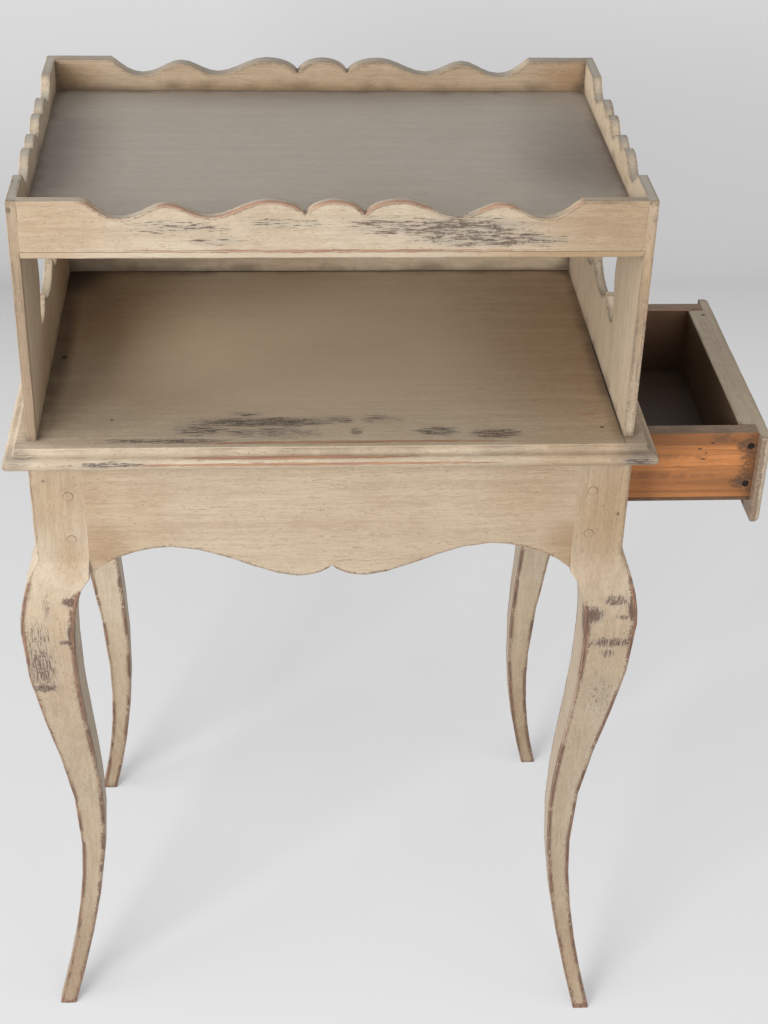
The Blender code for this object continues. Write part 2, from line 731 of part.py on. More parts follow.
def case(table):
    """The upper case: two pierced sides, a back, the tray and its front gallery, nailed together."""
    panels = {side: side_panel(table, f"side_panel_{side}", sign) for side, sign in SIDES.items()}
    half = PANEL_X - CLEAR
    back = gallery_board(
        table, "back_panel", (half, half - BACK_SHRINKAGE), CASE_BOTTOM, BACK_THICKNESS, BACK_FACE_Y
    )
    rail = gallery_board(
        table, "front_gallery_rail", (half, half), RAIL_SEAT + CLEAR, GALLERY_THICKNESS, -CASE_Y
    )
    board_between = tray(table)
    tray_middle = (TRAY_UNDERSIDE + TRAY_SURFACE) / 2
    rail_middle = (TRAY_SURFACE + GALLERY_TOP) / 2
    tray_nail = TRAY_NAIL_SHARE * CASE_Y
    back_nail = CASE_Y - BACK_THICKNESS / 2
    places = {
        "tray_front": (-tray_nail, tray_middle, board_between),
        "tray_back": (tray_nail, tray_middle, board_between),
        "gallery": (GALLERY_THICKNESS / 2 - CASE_Y, rail_middle, rail),
    }
    for level, share in BACK_NAIL_SHARES.items():
        places[f"back_{level}"] = (back_nail, TOP_SURFACE + share * NICHE_HEIGHT, back)
    for side, sign in SIDES.items():
        for key, (along, height, held) in places.items():
            place = (sign * CASE_X, along, height)
            targets = (panels[side], held)
            table.nail(f"nail_{key}_{side}", place, (sign, 0, 0), table.frame, targets)


def drawer_front(table):
    """The front board, rebated for the sides, with a lip that laps the posts and the rail."""
    outer = LIP_X + LIP_THICKNESS
    lip_bottom = DRAWER_BOTTOM - LIP_DROP
    size = (LIP_THICKNESS, 2 * (DRAWER_Y + LIP_OVERLAP), DRAWER_TOP - lip_bottom)
    bm = bmesh.new()
    bmesh.ops.create_cube(bm, size=1, matrix=Matrix.Diagonal((*size, 1)))
    outside = [
        edge
        for edge in bm.edges
        if all(vert.co.x > 0 for vert in edge.verts) and not all(vert.co.z > 0 for vert in edge.verts)
    ]
    bmesh.ops.bevel(
        bm, geom=outside, offset=LIP_ROUND, segments=LIP_ROUND_STEPS, profile=0.5, affect="EDGES"
    )
    obj = new_object("drawer_front", mesh_from(bm, "drawer_front"), table.drawer, table.pieces)
    obj.location = (LIP_X + LIP_THICKNESS / 2, 0, (lip_bottom + DRAWER_TOP) / 2)
    obj.data.shade_smooth()
    obj.data.set_sharp_from_angle(angle=SMOOTH_BELOW)
    finish(obj, "cream_paint")
    half = DRAWER_Y - DRAWER_SIDE - CLEAR
    low = (outer - FRONT_THICKNESS, -half, DRAWER_BOTTOM + BOTTOM_THICKNESS + CLEAR)
    high = (LIP_X + LIP_THICKNESS / 3, half, DRAWER_TOP)
    body = table.box_cutter("drawer_front_body", low, high, table.drawer)
    cut(obj, body, "UNION")
    return obj


def drawer(table):
    """Front, two sides, back and a thin bottom nailed up from below, all on the slide's empty."""
    front = drawer_front(table)
    floor = DRAWER_BOTTOM + BOTTOM_THICKNESS
    end = LIP_X - CLEAR
    low = (DRAWER_END_X, -DRAWER_Y, DRAWER_BOTTOM)
    table.box("drawer_bottom", low, (end, DRAWER_Y, floor), "dark_pine", table.drawer)
    inside = DRAWER_Y - DRAWER_SIDE
    low = (DRAWER_END_X, CLEAR - inside, floor + CLEAR)
    high = (DRAWER_END_X + DRAWER_BACK, inside - CLEAR, DRAWER_TOP)
    table.box("drawer_back", low, high, "dark_pine", table.drawer)
    for side, sign in ENDS.items():
        reach = sorted((sign * inside, sign * DRAWER_Y))
        low = (DRAWER_END_X, reach[0], floor + CLEAR)
        high = (end, reach[1], DRAWER_TOP)
        piece = table.box(f"drawer_side_{side}", low, high, "orange_pine", table.drawer)
        for level, share in DRAWER_NAIL_SHARES.items():
            height = DRAWER_BOTTOM + share * (DRAWER_TOP - DRAWER_BOTTOM)
            place = (end - DRAWER_NAIL_INSET, sign * DRAWER_Y, height)
            name = f"nail_drawer_{side}_{level}"
            table.nail(name, place, (0, sign, 0), table.drawer, (piece, front))


SIDES = {"left": -1, "right": 1}
ENDS = {"front": -1, "back": 1}


def main():
    clear_scene()
    table = Table()
    legs = {
        (end, side): leg(table, f"{end}_{side}", side_sign, end_sign)
        for end, end_sign in ENDS.items()
        for side, side_sign in SIDES.items()
    }
    for end, sign in ENDS.items():
        posts = (legs[end, "left"], legs[end, "right"])
        apron(table, f"apron_{end}", "XZ", sign, SIDES, posts)
        runner(table, f"drawer_runner_{end}", sign)
        guide(table, f"drawer_guide_{end}", sign)
        for side, side_sign in SIDES.items():
            glue_block(table, f"glue_block_{end}_{side}", side_sign, sign)
    apron(table, "apron_left", "YZ", -1, ENDS, (legs["front", "left"], legs["back", "left"]))
    drawer_rail(table, (legs["front", "right"], legs["back", "right"]))
    table_top(table)
    case(table)
    drawer(table)
    bpy.context.view_layer.update()


main()
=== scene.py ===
"""A French provincial bedside table: worn cream paint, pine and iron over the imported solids.

Metres, +Z up, the niche faces -Y and the drawer slides out along +X.
Every board is copied from its CAD node, gets rubbed, uneven arrises and takes a finish of its own.
"""

import json
import math
from dataclasses import dataclass
from functools import cached_property

import bmesh
import bpy
from bpy.props import FloatProperty, FloatVectorProperty, PointerProperty
from mathutils import Matrix, Vector, kdtree, noise
from mathutils.bvhtree import BVHTree

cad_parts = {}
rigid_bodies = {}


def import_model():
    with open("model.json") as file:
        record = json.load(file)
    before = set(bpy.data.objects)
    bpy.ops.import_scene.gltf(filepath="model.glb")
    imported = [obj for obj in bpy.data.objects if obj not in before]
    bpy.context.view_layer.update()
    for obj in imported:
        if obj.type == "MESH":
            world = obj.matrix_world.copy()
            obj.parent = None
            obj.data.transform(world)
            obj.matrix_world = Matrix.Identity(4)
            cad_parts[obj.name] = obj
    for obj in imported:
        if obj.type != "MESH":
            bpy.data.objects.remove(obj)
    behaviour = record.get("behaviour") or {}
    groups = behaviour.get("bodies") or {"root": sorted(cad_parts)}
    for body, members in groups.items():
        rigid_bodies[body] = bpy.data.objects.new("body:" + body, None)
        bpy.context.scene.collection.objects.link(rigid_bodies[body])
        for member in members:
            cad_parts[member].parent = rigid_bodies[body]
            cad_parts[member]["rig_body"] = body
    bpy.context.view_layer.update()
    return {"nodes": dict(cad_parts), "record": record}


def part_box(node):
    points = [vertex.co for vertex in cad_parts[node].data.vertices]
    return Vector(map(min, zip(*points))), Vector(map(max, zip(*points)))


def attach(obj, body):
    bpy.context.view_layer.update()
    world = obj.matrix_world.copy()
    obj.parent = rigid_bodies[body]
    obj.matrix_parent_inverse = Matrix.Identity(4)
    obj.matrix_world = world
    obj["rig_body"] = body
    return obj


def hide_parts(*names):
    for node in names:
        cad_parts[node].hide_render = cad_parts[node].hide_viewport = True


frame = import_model()

bl_info = {
    "name": "Galleried bedside table",
    "version": (1, 0, 0),
    "blender": (4, 5, 0),
    "location": "View3D > Sidebar > Bedside",
    "description": "Dresses a painted bedside table and its drawer, and builds a pale studio round them",
    "category": "Object",
}

# The table's own middle along X: the middle of the frame counts the open drawer too
MIDDLE = (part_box("tray_board")[0].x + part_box("tray_board")[1].x) / 2
RAIL_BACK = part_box("front_gallery_rail")[1].y
DRAWER_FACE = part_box("drawer_front")[1].x

# The finish that each of the record's slots stands for
SLOTS = {
    "cream_paint": "paint",
    "grey_tray_paint": "tray",
    "orange_pine": "pine",
    "dark_pine": "old_pine",
    "peg_paint": "paint",
    "black_iron": "iron",
}

# Which way the grain runs in the boards whose names start so: in all others it runs along X
GRAIN = {"Z": ("leg", "side_panel"), "Y": ("apron_left", "drawer_front", "drawer_rail", "drawer_back")}


class BedsideSizes(bpy.types.PropertyGroup):
    """Sizes that a user would change."""

    arris: FloatProperty(
        name="Arris", description="Width of a rubbed edge", default=0.0011, min=0.0002, unit="LENGTH"
    )
    arris_step: FloatProperty(
        name="Arris step", description="Length over which a rubbed edge changes",
        default=0.005, unit="LENGTH",
    )
    unevenness: FloatProperty(
        name="Unevenness", description="How much a rubbed edge's width varies",
        default=0.55, subtype="FACTOR",
    )
    joint_reach: FloatProperty(
        name="Joint reach", description="An edge this close to another board stays crisp",
        default=0.0012, unit="LENGTH",
    )
    seam: FloatProperty(
        name="Seam", description="Fixed boards this far apart are closed up", default=0.00036, unit="LENGTH"
    )


def swatch(name, description, *linear):
    return FloatVectorProperty(name=name, description=description, default=linear, subtype="COLOR", size=3)


class BedsideColours(bpy.types.PropertyGroup):
    """Colours of the finishes, linear."""

    paint: swatch("Paint", "Cream paint", 0.57, 0.476, 0.352)
    shade: swatch("Paint shade", "Where the paint is thin or handled", 0.45, 0.355, 0.248)
    # Painted light: a paler paint laid where more light falls
    clean: swatch("Clean paint", "Paint that has been wiped", 0.66, 0.525, 0.36)
    tray: swatch("Tray", "Grey-brown tray paint", 0.385, 0.34, 0.282)
    undercoat: swatch("Worn wood", "Red-brown wood under the paint", 0.105, 0.058, 0.04)
    worn_pale: swatch("Worn wood, pale", "Paler fibres of the worn wood", 0.31, 0.172, 0.108)
    # Also the painted light on the drawer's inside
    rubbed_and_lit_wood: swatch("Freshly rubbed wood", "Orange wood on crests and mouldings", 0.44, 0.25, 0.15)
    scuff: swatch("Scuff", "Dark rubbed streaks", 0.095, 0.07, 0.055)
    brown_scuff: swatch("Scuff on the knees", "Brown rubbed streaks", 0.115, 0.06, 0.043)
    smear: swatch("Smear", "Grey cast round the scuffs", 0.33, 0.29, 0.24)
    # Dust, and painted shade on faces that look up
    dust: swatch("Dust", "Grey cast of upward faces", 0.33, 0.305, 0.26)
    # Also painted shade on the niche floor's left and on the left side's inner face
    stain: swatch("Stain", "Brown cast near the joints", 0.72, 0.58, 0.44)
    groove: swatch("Groove", "Brown glaze left in the brush grooves", 0.6, 0.52, 0.43)
    # Dirt, and painted shade in the corners
    grime_and_shade: swatch("Grime", "Dirt in the corners", 0.09, 0.055, 0.03)
    pine: swatch("Pine", "Bare orange pine", 0.51, 0.2, 0.062)
    stained_pine: swatch("Stained pine", "Pine round the nails", 0.16, 0.062, 0.026)
    old_pine: swatch("Old pine", "Pine gone brown", 0.17, 0.095, 0.052)
    aged: swatch("Aged wood", "Handled edges of the drawer", 0.33, 0.235, 0.16)
    # Painted shade of the drawer's inside
    inside: swatch("Drawer's inside", "Dark unlit boards", 0.11, 0.063, 0.035)
    iron: swatch("Iron", "Black forged iron", 0.018, 0.015, 0.014)
    rust: swatch("Rust", "Rust on the iron", 0.09, 0.045, 0.025)
    studio: swatch("Studio", "Floor and backdrop", 0.4, 0.4, 0.403)
    glow: swatch("Studio glow", "What the camera sees above the lit paper", 0.335, 0.335, 0.34)


def sizes():
    return bpy.context.scene.bedside_sizes


def colours():
    return bpy.context.scene.bedside_colours


def darker(colour, share):
    return tuple(share * part for part in colour)


# Shaping

MERGE = 0.00001  # vertices this close are one
HAIRLINE = 0.00002  # what stays open where two boards are closed up
FLAT = math.radians(0.3)  # faces that meet at less than this are one
SHARP = math.radians(40)  # an edge that turns more than this is an arris
SMOOTH_BELOW = math.radians(38)
ARRIS_SEGMENTS = 3
THINNEST = 0.3  # of an arris's width, where it is rubbed least
BROAD_RUBBING, FINE_RUBBING = 55, 160  # changes of an arris's width in a metre
NAIL_ARRIS, PEG_ARRIS = 0.0003, 0.0001

TREES = {}  # search trees of the CAD nodes, by name
DRESSED = []  # nodes dressed so far: a later board closes up to them


def only(piece):
    bpy.ops.object.select_all(action="DESELECT")
    piece.select_set(True)
    bpy.context.view_layer.objects.active = piece


def body_of(node):
    return frame["nodes"][node]["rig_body"]


def slot_of(node):
    return next(row["material_slot"] for row in frame["record"]["subparts"] if row["node"] == node)


def tree_of(node):
    if node not in TREES:
        mesh = frame["nodes"][node].data
        polygons = [tuple(face.vertices) for face in mesh.polygons]
        TREES[node] = BVHTree.FromPolygons([vert.co for vert in mesh.vertices], polygons)
    return TREES[node]


def neighbours(node):
    """Search trees of the boards whose boxes come near this one."""
    reach = sizes().joint_reach
    low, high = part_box(node)
    found = []
    for other in frame["nodes"]:
        if other == node:
            continue
        near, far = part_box(other)
        if all(near[i] <= high[i] + reach and far[i] >= low[i] - reach for i in range(3)):
            found.append(tree_of(other))
    return found


def merged_copy(node):
    """A copy of a board with its triangles joined into its real faces, left open in edit mode."""
    piece = bpy.data.objects.new("worn_" + node, frame["nodes"][node].data.copy())
    bpy.context.scene.collection.objects.link(piece)
    only(piece)
    bpy.ops.object.mode_set(mode="EDIT")
    bpy.ops.mesh.select_mode(type="EDGE")
    bpy.ops.mesh.select_all(action="SELECT")
    bpy.ops.mesh.remove_doubles(threshold=MERGE)
    bpy.ops.mesh.dissolve_limited(angle_limit=FLAT)
    return piece


def close_seams(mesh, node, seam):
    """Draws a board up to the boards dressed before it, where it is fixed to them."""
    for other in DRESSED:
        if body_of(other) != body_of(node):
            continue
        tree = tree_of(other)
        for vert in mesh.verts:
            near, _, _, gap = tree.find_nearest(vert.co, seam)
            if near and gap > MERGE:
                vert.co = near + (near - vert.co).normalized() * HAIRLINE
    DRESSED.append(node)


def free_arrises(mesh, trees):
    """The sharp edges that lie against no other board."""
    mesh.edges.ensure_lookup_table()
    reach = sizes().joint_reach
    found = []
    for edge in mesh.edges:
        if len(edge.link_faces) != 2 or edge.calc_face_angle() < SHARP:
            continue
        middle = (edge.verts[0].co + edge.verts[1].co) / 2
        if all(tree.find_nearest(middle, reach)[0] is None for tree in trees):
            found.append(edge)
    return found


def rubbed_copy(node, width=None, seam=None):
    """A merged copy of a board whose free arrises are rounded unevenly, as by years of rubbing."""
    piece = merged_copy(node)
    trees = neighbours(node)
    mesh = bmesh.from_edit_mesh(piece.data)
    close_seams(mesh, node, seam or sizes().seam)
    for cuts in (31, 15, 7, 3, 1):
        shortest = sizes().arris_step * (cuts + 1) * 0.75
        longer = [edge for edge in free_arrises(mesh, trees) if edge.calc_length() > shortest]
        if longer:
            bmesh.ops.bisect_edges(mesh, edges=longer, cuts=cuts)
    arrises = free_arrises(mesh, trees)
    places = kdtree.KDTree(len(mesh.verts))
    for index, vert in enumerate(mesh.verts):
        places.insert(vert.co, index)
    places.balance()
    for edge in mesh.edges:
        edge.select = False
    free = mesh.verts.layers.float.new("free")
    for edge in arrises:
        edge.select = True
        for vert in edge.verts:
            vert[free] = 1
    bmesh.update_edit_mesh(piece.data)
    if arrises:
        offset = width or sizes().arris
        bpy.ops.mesh.bevel(
            offset=offset, segments=ARRIS_SEGMENTS, profile=0.5, affect="EDGES", clamp_overlap=True
        )
        rub(piece, places)
    bpy.ops.object.mode_set(mode="OBJECT")
    bpy.ops.object.shade_smooth_by_angle(angle=SMOOTH_BELOW)
    weighted = piece.modifiers.new("weighted", "WEIGHTED_NORMAL")
    weighted.mode = "FACE_AREA"
    weighted.weight = 100
    weighted.keep_sharp = True
    bpy.ops.object.modifier_apply(modifier=weighted.name)
    return piece


def rub(piece, places):
    """Makes the bevelled arrises wider and narrower along their length, from where they lay before."""
    mesh = bmesh.from_edit_mesh(piece.data)
    rough = sizes().unevenness
    free = mesh.verts.layers.float["free"]
    for vert in mesh.verts:
        if not vert.select:
            continue
        vert[free] = 1
        centre = places.find(vert.co)[0]
        share = 1 + rough * noise.noise(centre * BROAD_RUBBING)
        share += 0.6 * rough * noise.noise(centre * FINE_RUBBING)
        vert.co = centre + (vert.co - centre) * max(THINNEST, share)
    bmesh.update_edit_mesh(piece.data)


def place(piece, node, material):
    """The piece takes its finish, rides on its node's body and stands for the node."""
    piece.data.materials.clear()
    piece.data.materials.append(material)
    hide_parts(node)
    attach(piece, body_of(node))


# Finishes

DIRT_AND_SHADE_REACH = 0.012  # how far out of a corner its dirt and painted shade come
CREST_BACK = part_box("front_gallery_rail")[0].y + 0.0045  # how far back a crest is rubbed bright

# The drawer in the frame
SIDE_INNER = 0.1024  # y of a side's inner face
FRONT_ENDS = 0.112  # y where the front's ends begin
INSIDE_HALF = 0.104  # y up to which a face belongs to the inside
# heights over which the painted light inside the drawer grows towards its top
INSIDE_LOW, INSIDE_HIGH = 0.5206, 0.5835
LIT_FROM, LIT_TO = 0.17, 0.25  # x over which the painted light inside grows weaker


def along(grain, lengthways, across):
    """Scales that draw a noise out along the grain."""
    scale = [across] * 3
    scale["XYZ".index(grain)] = lengthways
    return scale


def shifts(seed, *steps):
    """A place of its own in the noises for each board."""
    return tuple(seed * step % 5 for step in steps)


class Mixer:
    """Writes a material's nodes as short sums."""

    def __init__(self, name):
        self.material = bpy.data.materials.new(name)
        self.material.use_nodes = True
        self.tree = self.material.node_tree
        self.shader = self.tree.nodes["Principled BSDF"]
        self.where = self.add("ShaderNodeTexCoord").outputs["Object"]

    def add(self, kind, **settings):
        node = self.tree.nodes.new(kind)
        for key, value in settings.items():
            setattr(node, key, value)
        return node

    def put(self, socket, value):
        if isinstance(value, bpy.types.NodeSocket):
            self.tree.links.new(value, socket)
        elif hasattr(socket.default_value, "__len__") and len(socket.default_value) == 4 and len(value) == 3:
            socket.default_value = (*value, 1)
        else:
            socket.default_value = value

    def sum(self, operation, *values, clamp=False):
        node = self.add("ShaderNodeMath", operation=operation, use_clamp=clamp)
        for socket, value in zip(node.inputs, values):
            self.put(socket, value)
        return node.outputs[0]

    def plus(self, first, second):
        return self.sum("ADD", first, second)

    def minus(self, first, second, clamp=False):
        return self.sum("SUBTRACT", first, second, clamp=clamp)

    def times(self, first, second):
        return self.sum("MULTIPLY", first, second)

    def most(self, first, second):
        return self.sum("MAXIMUM", first, second)

    def unsigned(self, value):
        return self.sum("ABSOLUTE", value)

    def scaled(self, scale, shift=(0, 0, 0), where=None):
        node = self.add("ShaderNodeMapping")
        self.put(node.inputs["Vector"], where or self.where)
        node.inputs["Scale"].default_value = scale
        node.inputs["Location"].default_value = shift
        return node.outputs[0]

    def noise(self, where, detail=3.0, rough=0.55, distortion=0.0):
        node = self.add("ShaderNodeTexNoise")
        self.put(node.inputs["Vector"], where)
        node.inputs["Scale"].default_value = 1
        node.inputs["Detail"].default_value = detail
        node.inputs["Roughness"].default_value = rough
        node.inputs["Distortion"].default_value = distortion
        return node.outputs["Fac"]

    def step(self, value, low, high, to_low=0.0, to_high=1.0, smooth=True):
        """Leads a value from low to high over to a value from to_low to to_high."""
        node = self.add("ShaderNodeMapRange", interpolation_type="SMOOTHSTEP" if smooth else "LINEAR")
        self.put(node.inputs["Value"], value)
        ends = ("From Min", "From Max", "To Min", "To Max")
        for socket, number in zip(ends, (low, high, to_low, to_high)):
            self.put(node.inputs[socket], number)
        return node.outputs[0]

    def mix(self, share, first, second, blend="MIX"):
        node = self.add("ShaderNodeMix", data_type="RGBA", blend_type=blend)
        self.put(node.inputs["Factor"], share)
        # The colours are inputs 6 and 7 and output 2, whatever the node's kind
        self.put(node.inputs[6], first)
        self.put(node.inputs[7], second)
        return node.outputs[2]

    def corner(self, distance, inside, samples):
        """1 on open faces and less in a corner; with inside, less near an arris of the same board."""
        node = self.add("ShaderNodeAmbientOcclusion", inside=inside, only_local=inside, samples=samples)
        node.inputs["Distance"].default_value = distance
        return node.outputs["AO"]

    def near(self, centre, radii):
        """1 at a place, given from the table's middle, fading to 0 at the radii round it."""
        node = self.add("ShaderNodeMapping", vector_type="TEXTURE")
        self.put(node.inputs["Vector"], self.where)
        node.inputs["Location"].default_value = (centre[0] + MIDDLE, centre[1], centre[2])
        node.inputs["Scale"].default_value = radii
        length = self.add("ShaderNodeVectorMath", operation="LENGTH")
        self.put(length.inputs[0], node.outputs[0])
        return self.minus(1, length.outputs["Value"], clamp=True)

    def parts(self, vector):
        """The X, Y and Z parts of a vector, by name."""
        node = self.add("ShaderNodeSeparateXYZ")
        self.put(node.inputs[0], vector)
        return node.outputs

    def bump(self, height, distance):
        node = self.add("ShaderNodeBump")
        self.put(node.inputs["Height"], height)
        node.inputs["Distance"].default_value = distance
        node.inputs["Strength"].default_value = 1
        self.put(self.shader.inputs["Normal"], node.outputs[0])


class Board(Mixer):
    """A board's noises, and the marks that both painted and plain boards carry."""

    def __init__(self, name, grain, shift, wander):
        super().__init__(name)
        self.grain = grain
        self.shift = shift
        self.led = self.wandering(wander)
        self.broad = self.stroke(5, 130, 4)
        self.medium = self.stroke(16, 420, 3)
        self.fine = self.stroke(42, 1150, 2)

    def wandering(self, amount):
        """The vector that strokes and fibres run along, led a little to and fro."""
        drift = self.add("ShaderNodeTexNoise")
        self.put(drift.inputs["Vector"], self.scaled((22, 22, 22), self.shift))
        drift.inputs["Detail"].default_value = 1
        led = self.add("ShaderNodeVectorMath", operation="MULTIPLY_ADD")
        self.put(led.inputs[0], drift.outputs["Color"])
        led.inputs[1].default_value = (amount, amount, amount)
        self.put(led.inputs[2], self.where)
        return led.outputs[0]

    def stroke(self, lengthways, across, detail):
        scale = along(self.grain, lengthways, across)
        return self.noise(self.scaled(scale, self.shift, self.led), detail=detail, rough=0.6)

    @cached_property
    def looks(self):
        """The direction that a face looks in."""
        return self.parts(self.add("ShaderNodeNewGeometry").outputs["True Normal"])

    @cached_property
    def at(self):
        return self.parts(self.where)

    def dots(self, base, marks):
        """Nail heads, holes and open joints, and a painted shadow in a corner."""
        for centre, radii, strength in marks:
            dark = self.step(self.near(centre, radii), 0, 0.5, 0, strength)
            base = self.mix(dark, base, colours().iron)
        return base


@dataclass
class Ageing:
    """How a painted board has aged, and its painted light and shade. A mark is a place, its radii and its
    strength.
    """

    wear: float = 0.5  # how readily an arris wears through where the paint is weak
    sound: float = 1.3  # what it takes where the paint is sound: past 1.13 nothing does
    sound_above: float = None  # a board's arrises wear less above this height
    reach: float = 0.003  # how far in from an arris the wear goes
    edge: str = "wood"  # what the wear shows: "wood", or "dirt" ground into the paint
    scuff: tuple = None  # colour of the scuffs and of the specks beside an arris
    contrast: float = 1.0  # of the brush strokes
    dust: float = 0.5  # dust and painted shade on faces that look up
    dust_from: float = 0.0  # and lie above this height
    dirty: float = 0.75  # dirt and painted shade in the corners
    cream_before: float = None  # a tray's grey turns to cream in front of this y
    bare: float = None  # a drawer front is unpainted inside, and on its ends before this x
    crest: tuple = None  # heights where a crest's rubbing starts and is full, and half its length
    painted_light: tuple = ()  # painted light: paler patches where more light falls
    stains_and_shade: tuple = ()  # browned: stains, and painted shade
    soot_and_shade: tuple = ()  # greyed: soot, and painted shadow
    dots: tuple = ()  # nail heads, holes, open joints, and a painted shadow in a corner
    strong: tuple = ()  # where an arris wears more, or less if the strength is negative
    rubs: tuple = ()  # rubbed through to bright wood, in streaks
    scuffs: tuple = ()  # dark broken streaks


class PaintedBoard(Board):
    """Brushed paint over red-brown wood, in the order in which it was laid on and worn off."""

    def __init__(self, name, grain, seed, age):
        super().__init__(name, grain, shifts(seed, 1.37, 2.11, 0.73), 0.0028)
        self.age = age
        self.scuff_colour = age.scuff or colours().scuff
        self.cloudy = self.noise(self.scaled((7, 7, 7)), rough=0.5)
        self.mottled = self.noise(self.scaled((60, 60, 60)), detail=4, rough=0.65)
        self.patches = self.noise(self.scaled((30, 30, 30), self.shift))
        self.crumbs = self.noise(self.scaled((480, 480, 480), self.shift), detail=2, rough=0.6)
        fibres = self.noise(self.scaled(along(grain, 30, 700), self.shift), detail=2)
        self.fibres = self.step(fibres, 0.3, 0.7)
        strokes = self.plus(self.times(self.broad, 0.25), self.times(self.medium, 0.4))
        strokes = self.plus(strokes, self.times(self.fine, 0.35))
        self.tone = self.plus(self.times(strokes, 0.8), self.times(self.mottled, 0.2))

    @cached_property
    def streaky(self):
        return self.noise(self.scaled(along(self.grain, 75, 1050), self.shift), detail=5, rough=0.75)

    @cached_property
    def fresh_wood(self):
        return self.mix(self.fibres, colours().worn_pale, colours().rubbed_and_lit_wood)

    def coat(self, kind):
        """The paint, darker between the strokes and brown in their grooves."""
        c, age = colours(), self.age
        paint, shade = c.paint, c.shade
        if kind == "tray":
            cream = self.step(self.at["Y"], age.cream_before, age.cream_before + 0.0005, 1, 0)
            paint = self.mix(cream, c.tray, c.paint)
            shade = self.mix(cream, darker(c.tray, 0.82), c.shade)
        base = self.mix(self.step(self.tone, 0.42, 0.57, 0.95 * age.contrast, 0), paint, shade)
        clouds = self.step(self.cloudy, 0.45, 0.75, 0, 0.3 * age.contrast)
        base = self.mix(clouds, base, c.stain, "MULTIPLY")
        grooves = self.times(self.step(self.fine, 0.52, 0.66), self.step(self.medium, 0.4, 0.6))
        base = self.mix(self.times(grooves, 0.75 * age.contrast), base, c.groove, "MULTIPLY")
        specks = self.step(self.crumbs, 0.62, 0.72, 0, 0.5 * age.contrast)
        return self.mix(specks, base, c.groove, "MULTIPLY")

    def dusty(self, base):
        """Dust and painted shade on the faces that look up."""
        level = self.step(self.looks["Z"], 0.75, 0.98, 0, self.age.dust)
        high = self.step(self.at["Z"], self.age.dust_from, self.age.dust_from + 0.01)
        return self.mix(self.times(level, high), base, colours().dust)

    def blots(self, base, marks, ragged, spread, low, high, colour, blend="MIX"):
        """Soft blots of a colour, with outlines that a noise makes ragged."""
        for centre, radii, strength in marks:
            near = self.plus(self.near(centre, radii), self.step(ragged, 0.3, 0.7, -spread, spread))
            base = self.mix(self.step(near, low, high, 0, strength), base, colour, blend)
        return base

    def discoloured_and_shaded(self, base):
        """Paler patches of painted light, stains, soot and painted shadow, and dirt and painted shade in the
        corners.
        """
        c, age = colours(), self.age
        # Paler patches of painted light
        base = self.blots(base, age.painted_light, self.cloudy, 0.06, -0.05, 0.75, c.clean)
        # Brown stains, and painted shade
        base = self.blots(base, age.stains_and_shade, self.mottled, 0.07, -0.05, 0.85, c.stain, "MULTIPLY")
        # Grey soot, and painted shadow in the niche
        base = self.blots(base, age.soot_and_shade, self.mottled, 0.05, 0, 0.95, c.scuff)
        # Dirt and painted shade in the corners, darker where the occlusion is deeper
        dirt = self.plus(self.corner(DIRT_AND_SHADE_REACH, False, 4), self.step(self.patches, 0.3, 0.7, 0.15, -0.15))
        return self.mix(self.step(dirt, 0.45, 0.85, age.dirty, 0), base, c.grime_and_shade)

    def wear(self):
        """How far past wearing through the paint is: above 0 it is gone."""
        age = self.age
        free = self.add("ShaderNodeAttribute", attribute_name="free").outputs["Fac"]
        arris = self.step(self.corner(age.reach, True, 8), 0.56, 0.97, 1, 0, smooth=False)
        arris = self.times(arris, free)
        arris = self.plus(arris, self.step(self.crumbs, 0.2, 0.8, -0.13, 0.13, smooth=False))
        limit = self.step(self.patches, 0.38, 0.62, age.sound, 1 - age.wear)
        if age.sound_above:
            above = self.step(self.at["Z"], age.sound_above, age.sound_above + 0.04, 0, 0.35)
            limit = self.plus(limit, above)
        for centre, radii, strength in age.strong:
            limit = self.minus(limit, self.step(self.near(centre, radii), 0, 0.6, 0, strength))
        if age.strong:
            limit = self.most(limit, 0.22)
        return self.minus(arris, limit)

    def edged(self, base, past):
        """The paint beside a worn arris, and what the arris itself shows."""
        c = colours()
        if self.age.edge == "dirt":
            dirt = self.mix(self.fibres, c.scuff, c.aged)
            return base, self.mix(self.step(self.crumbs, 0.35, 0.65, 0.2, 0.75), dirt, base)
        wood = self.mix(self.fibres, c.undercoat, c.worn_pale)
        wood = self.mix(self.step(past, 0.02, 0.22, 0.85, 0), wood, c.undercoat)
        specks = self.times(self.step(past, -0.22, 0), self.step(self.crumbs, 0.42, 0.6, 0, 0.55))
        return self.mix(specks, base, self.scuff_colour), wood

    def spread(self, marks, reach):
        """The strongest of several marks at each place, 0 to 1 or a little more."""
        strongest = None
        for centre, radii, strength in marks:
            near = self.step(self.near(centre, [reach * part for part in radii]), 0, 0.75)
            one = self.times(near, strength)
            strongest = one if strongest is None else self.most(strongest, one)
        return strongest

    def rubbed(self, base):
        """Streaks that are rubbed through to bright wood, and where they are."""
        bar = self.step(self.spread(self.age.rubs, 1.2), 0, 1, 0.78, 0.36, smooth=False)
        through = self.step(self.minus(self.streaky, bar), 0, 0.05)
        return self.mix(through, base, self.fresh_wood), through

    def scuffed(self, base):
        """Dark broken streaks in a grey smear, and where they are."""
        c = colours()
        spread = self.spread(self.age.scuffs, 2.0)
        bar = self.step(spread, 0, 1.8, 0.67, 0.31, smooth=False)
        dark = self.step(self.minus(self.streaky, bar), -0.01, 0.03)
        broken = self.step(self.crumbs, 0.36, 0.5, self.step(spread, 0.9, 1.5, 0.45, 1), 1)
        dark = self.times(dark, broken)
        smeared = self.plus(spread, self.step(self.medium, 0.35, 0.65, -0.3, 0.3))
        base = self.mix(self.step(smeared, 0.1, 1.1, 0, 0.5), base, c.smear)
        streak = self.mix(self.step(self.patches, 0.5, 0.62), self.scuff_colour, c.undercoat)
        return self.mix(self.times(dark, 0.9), base, streak), dark

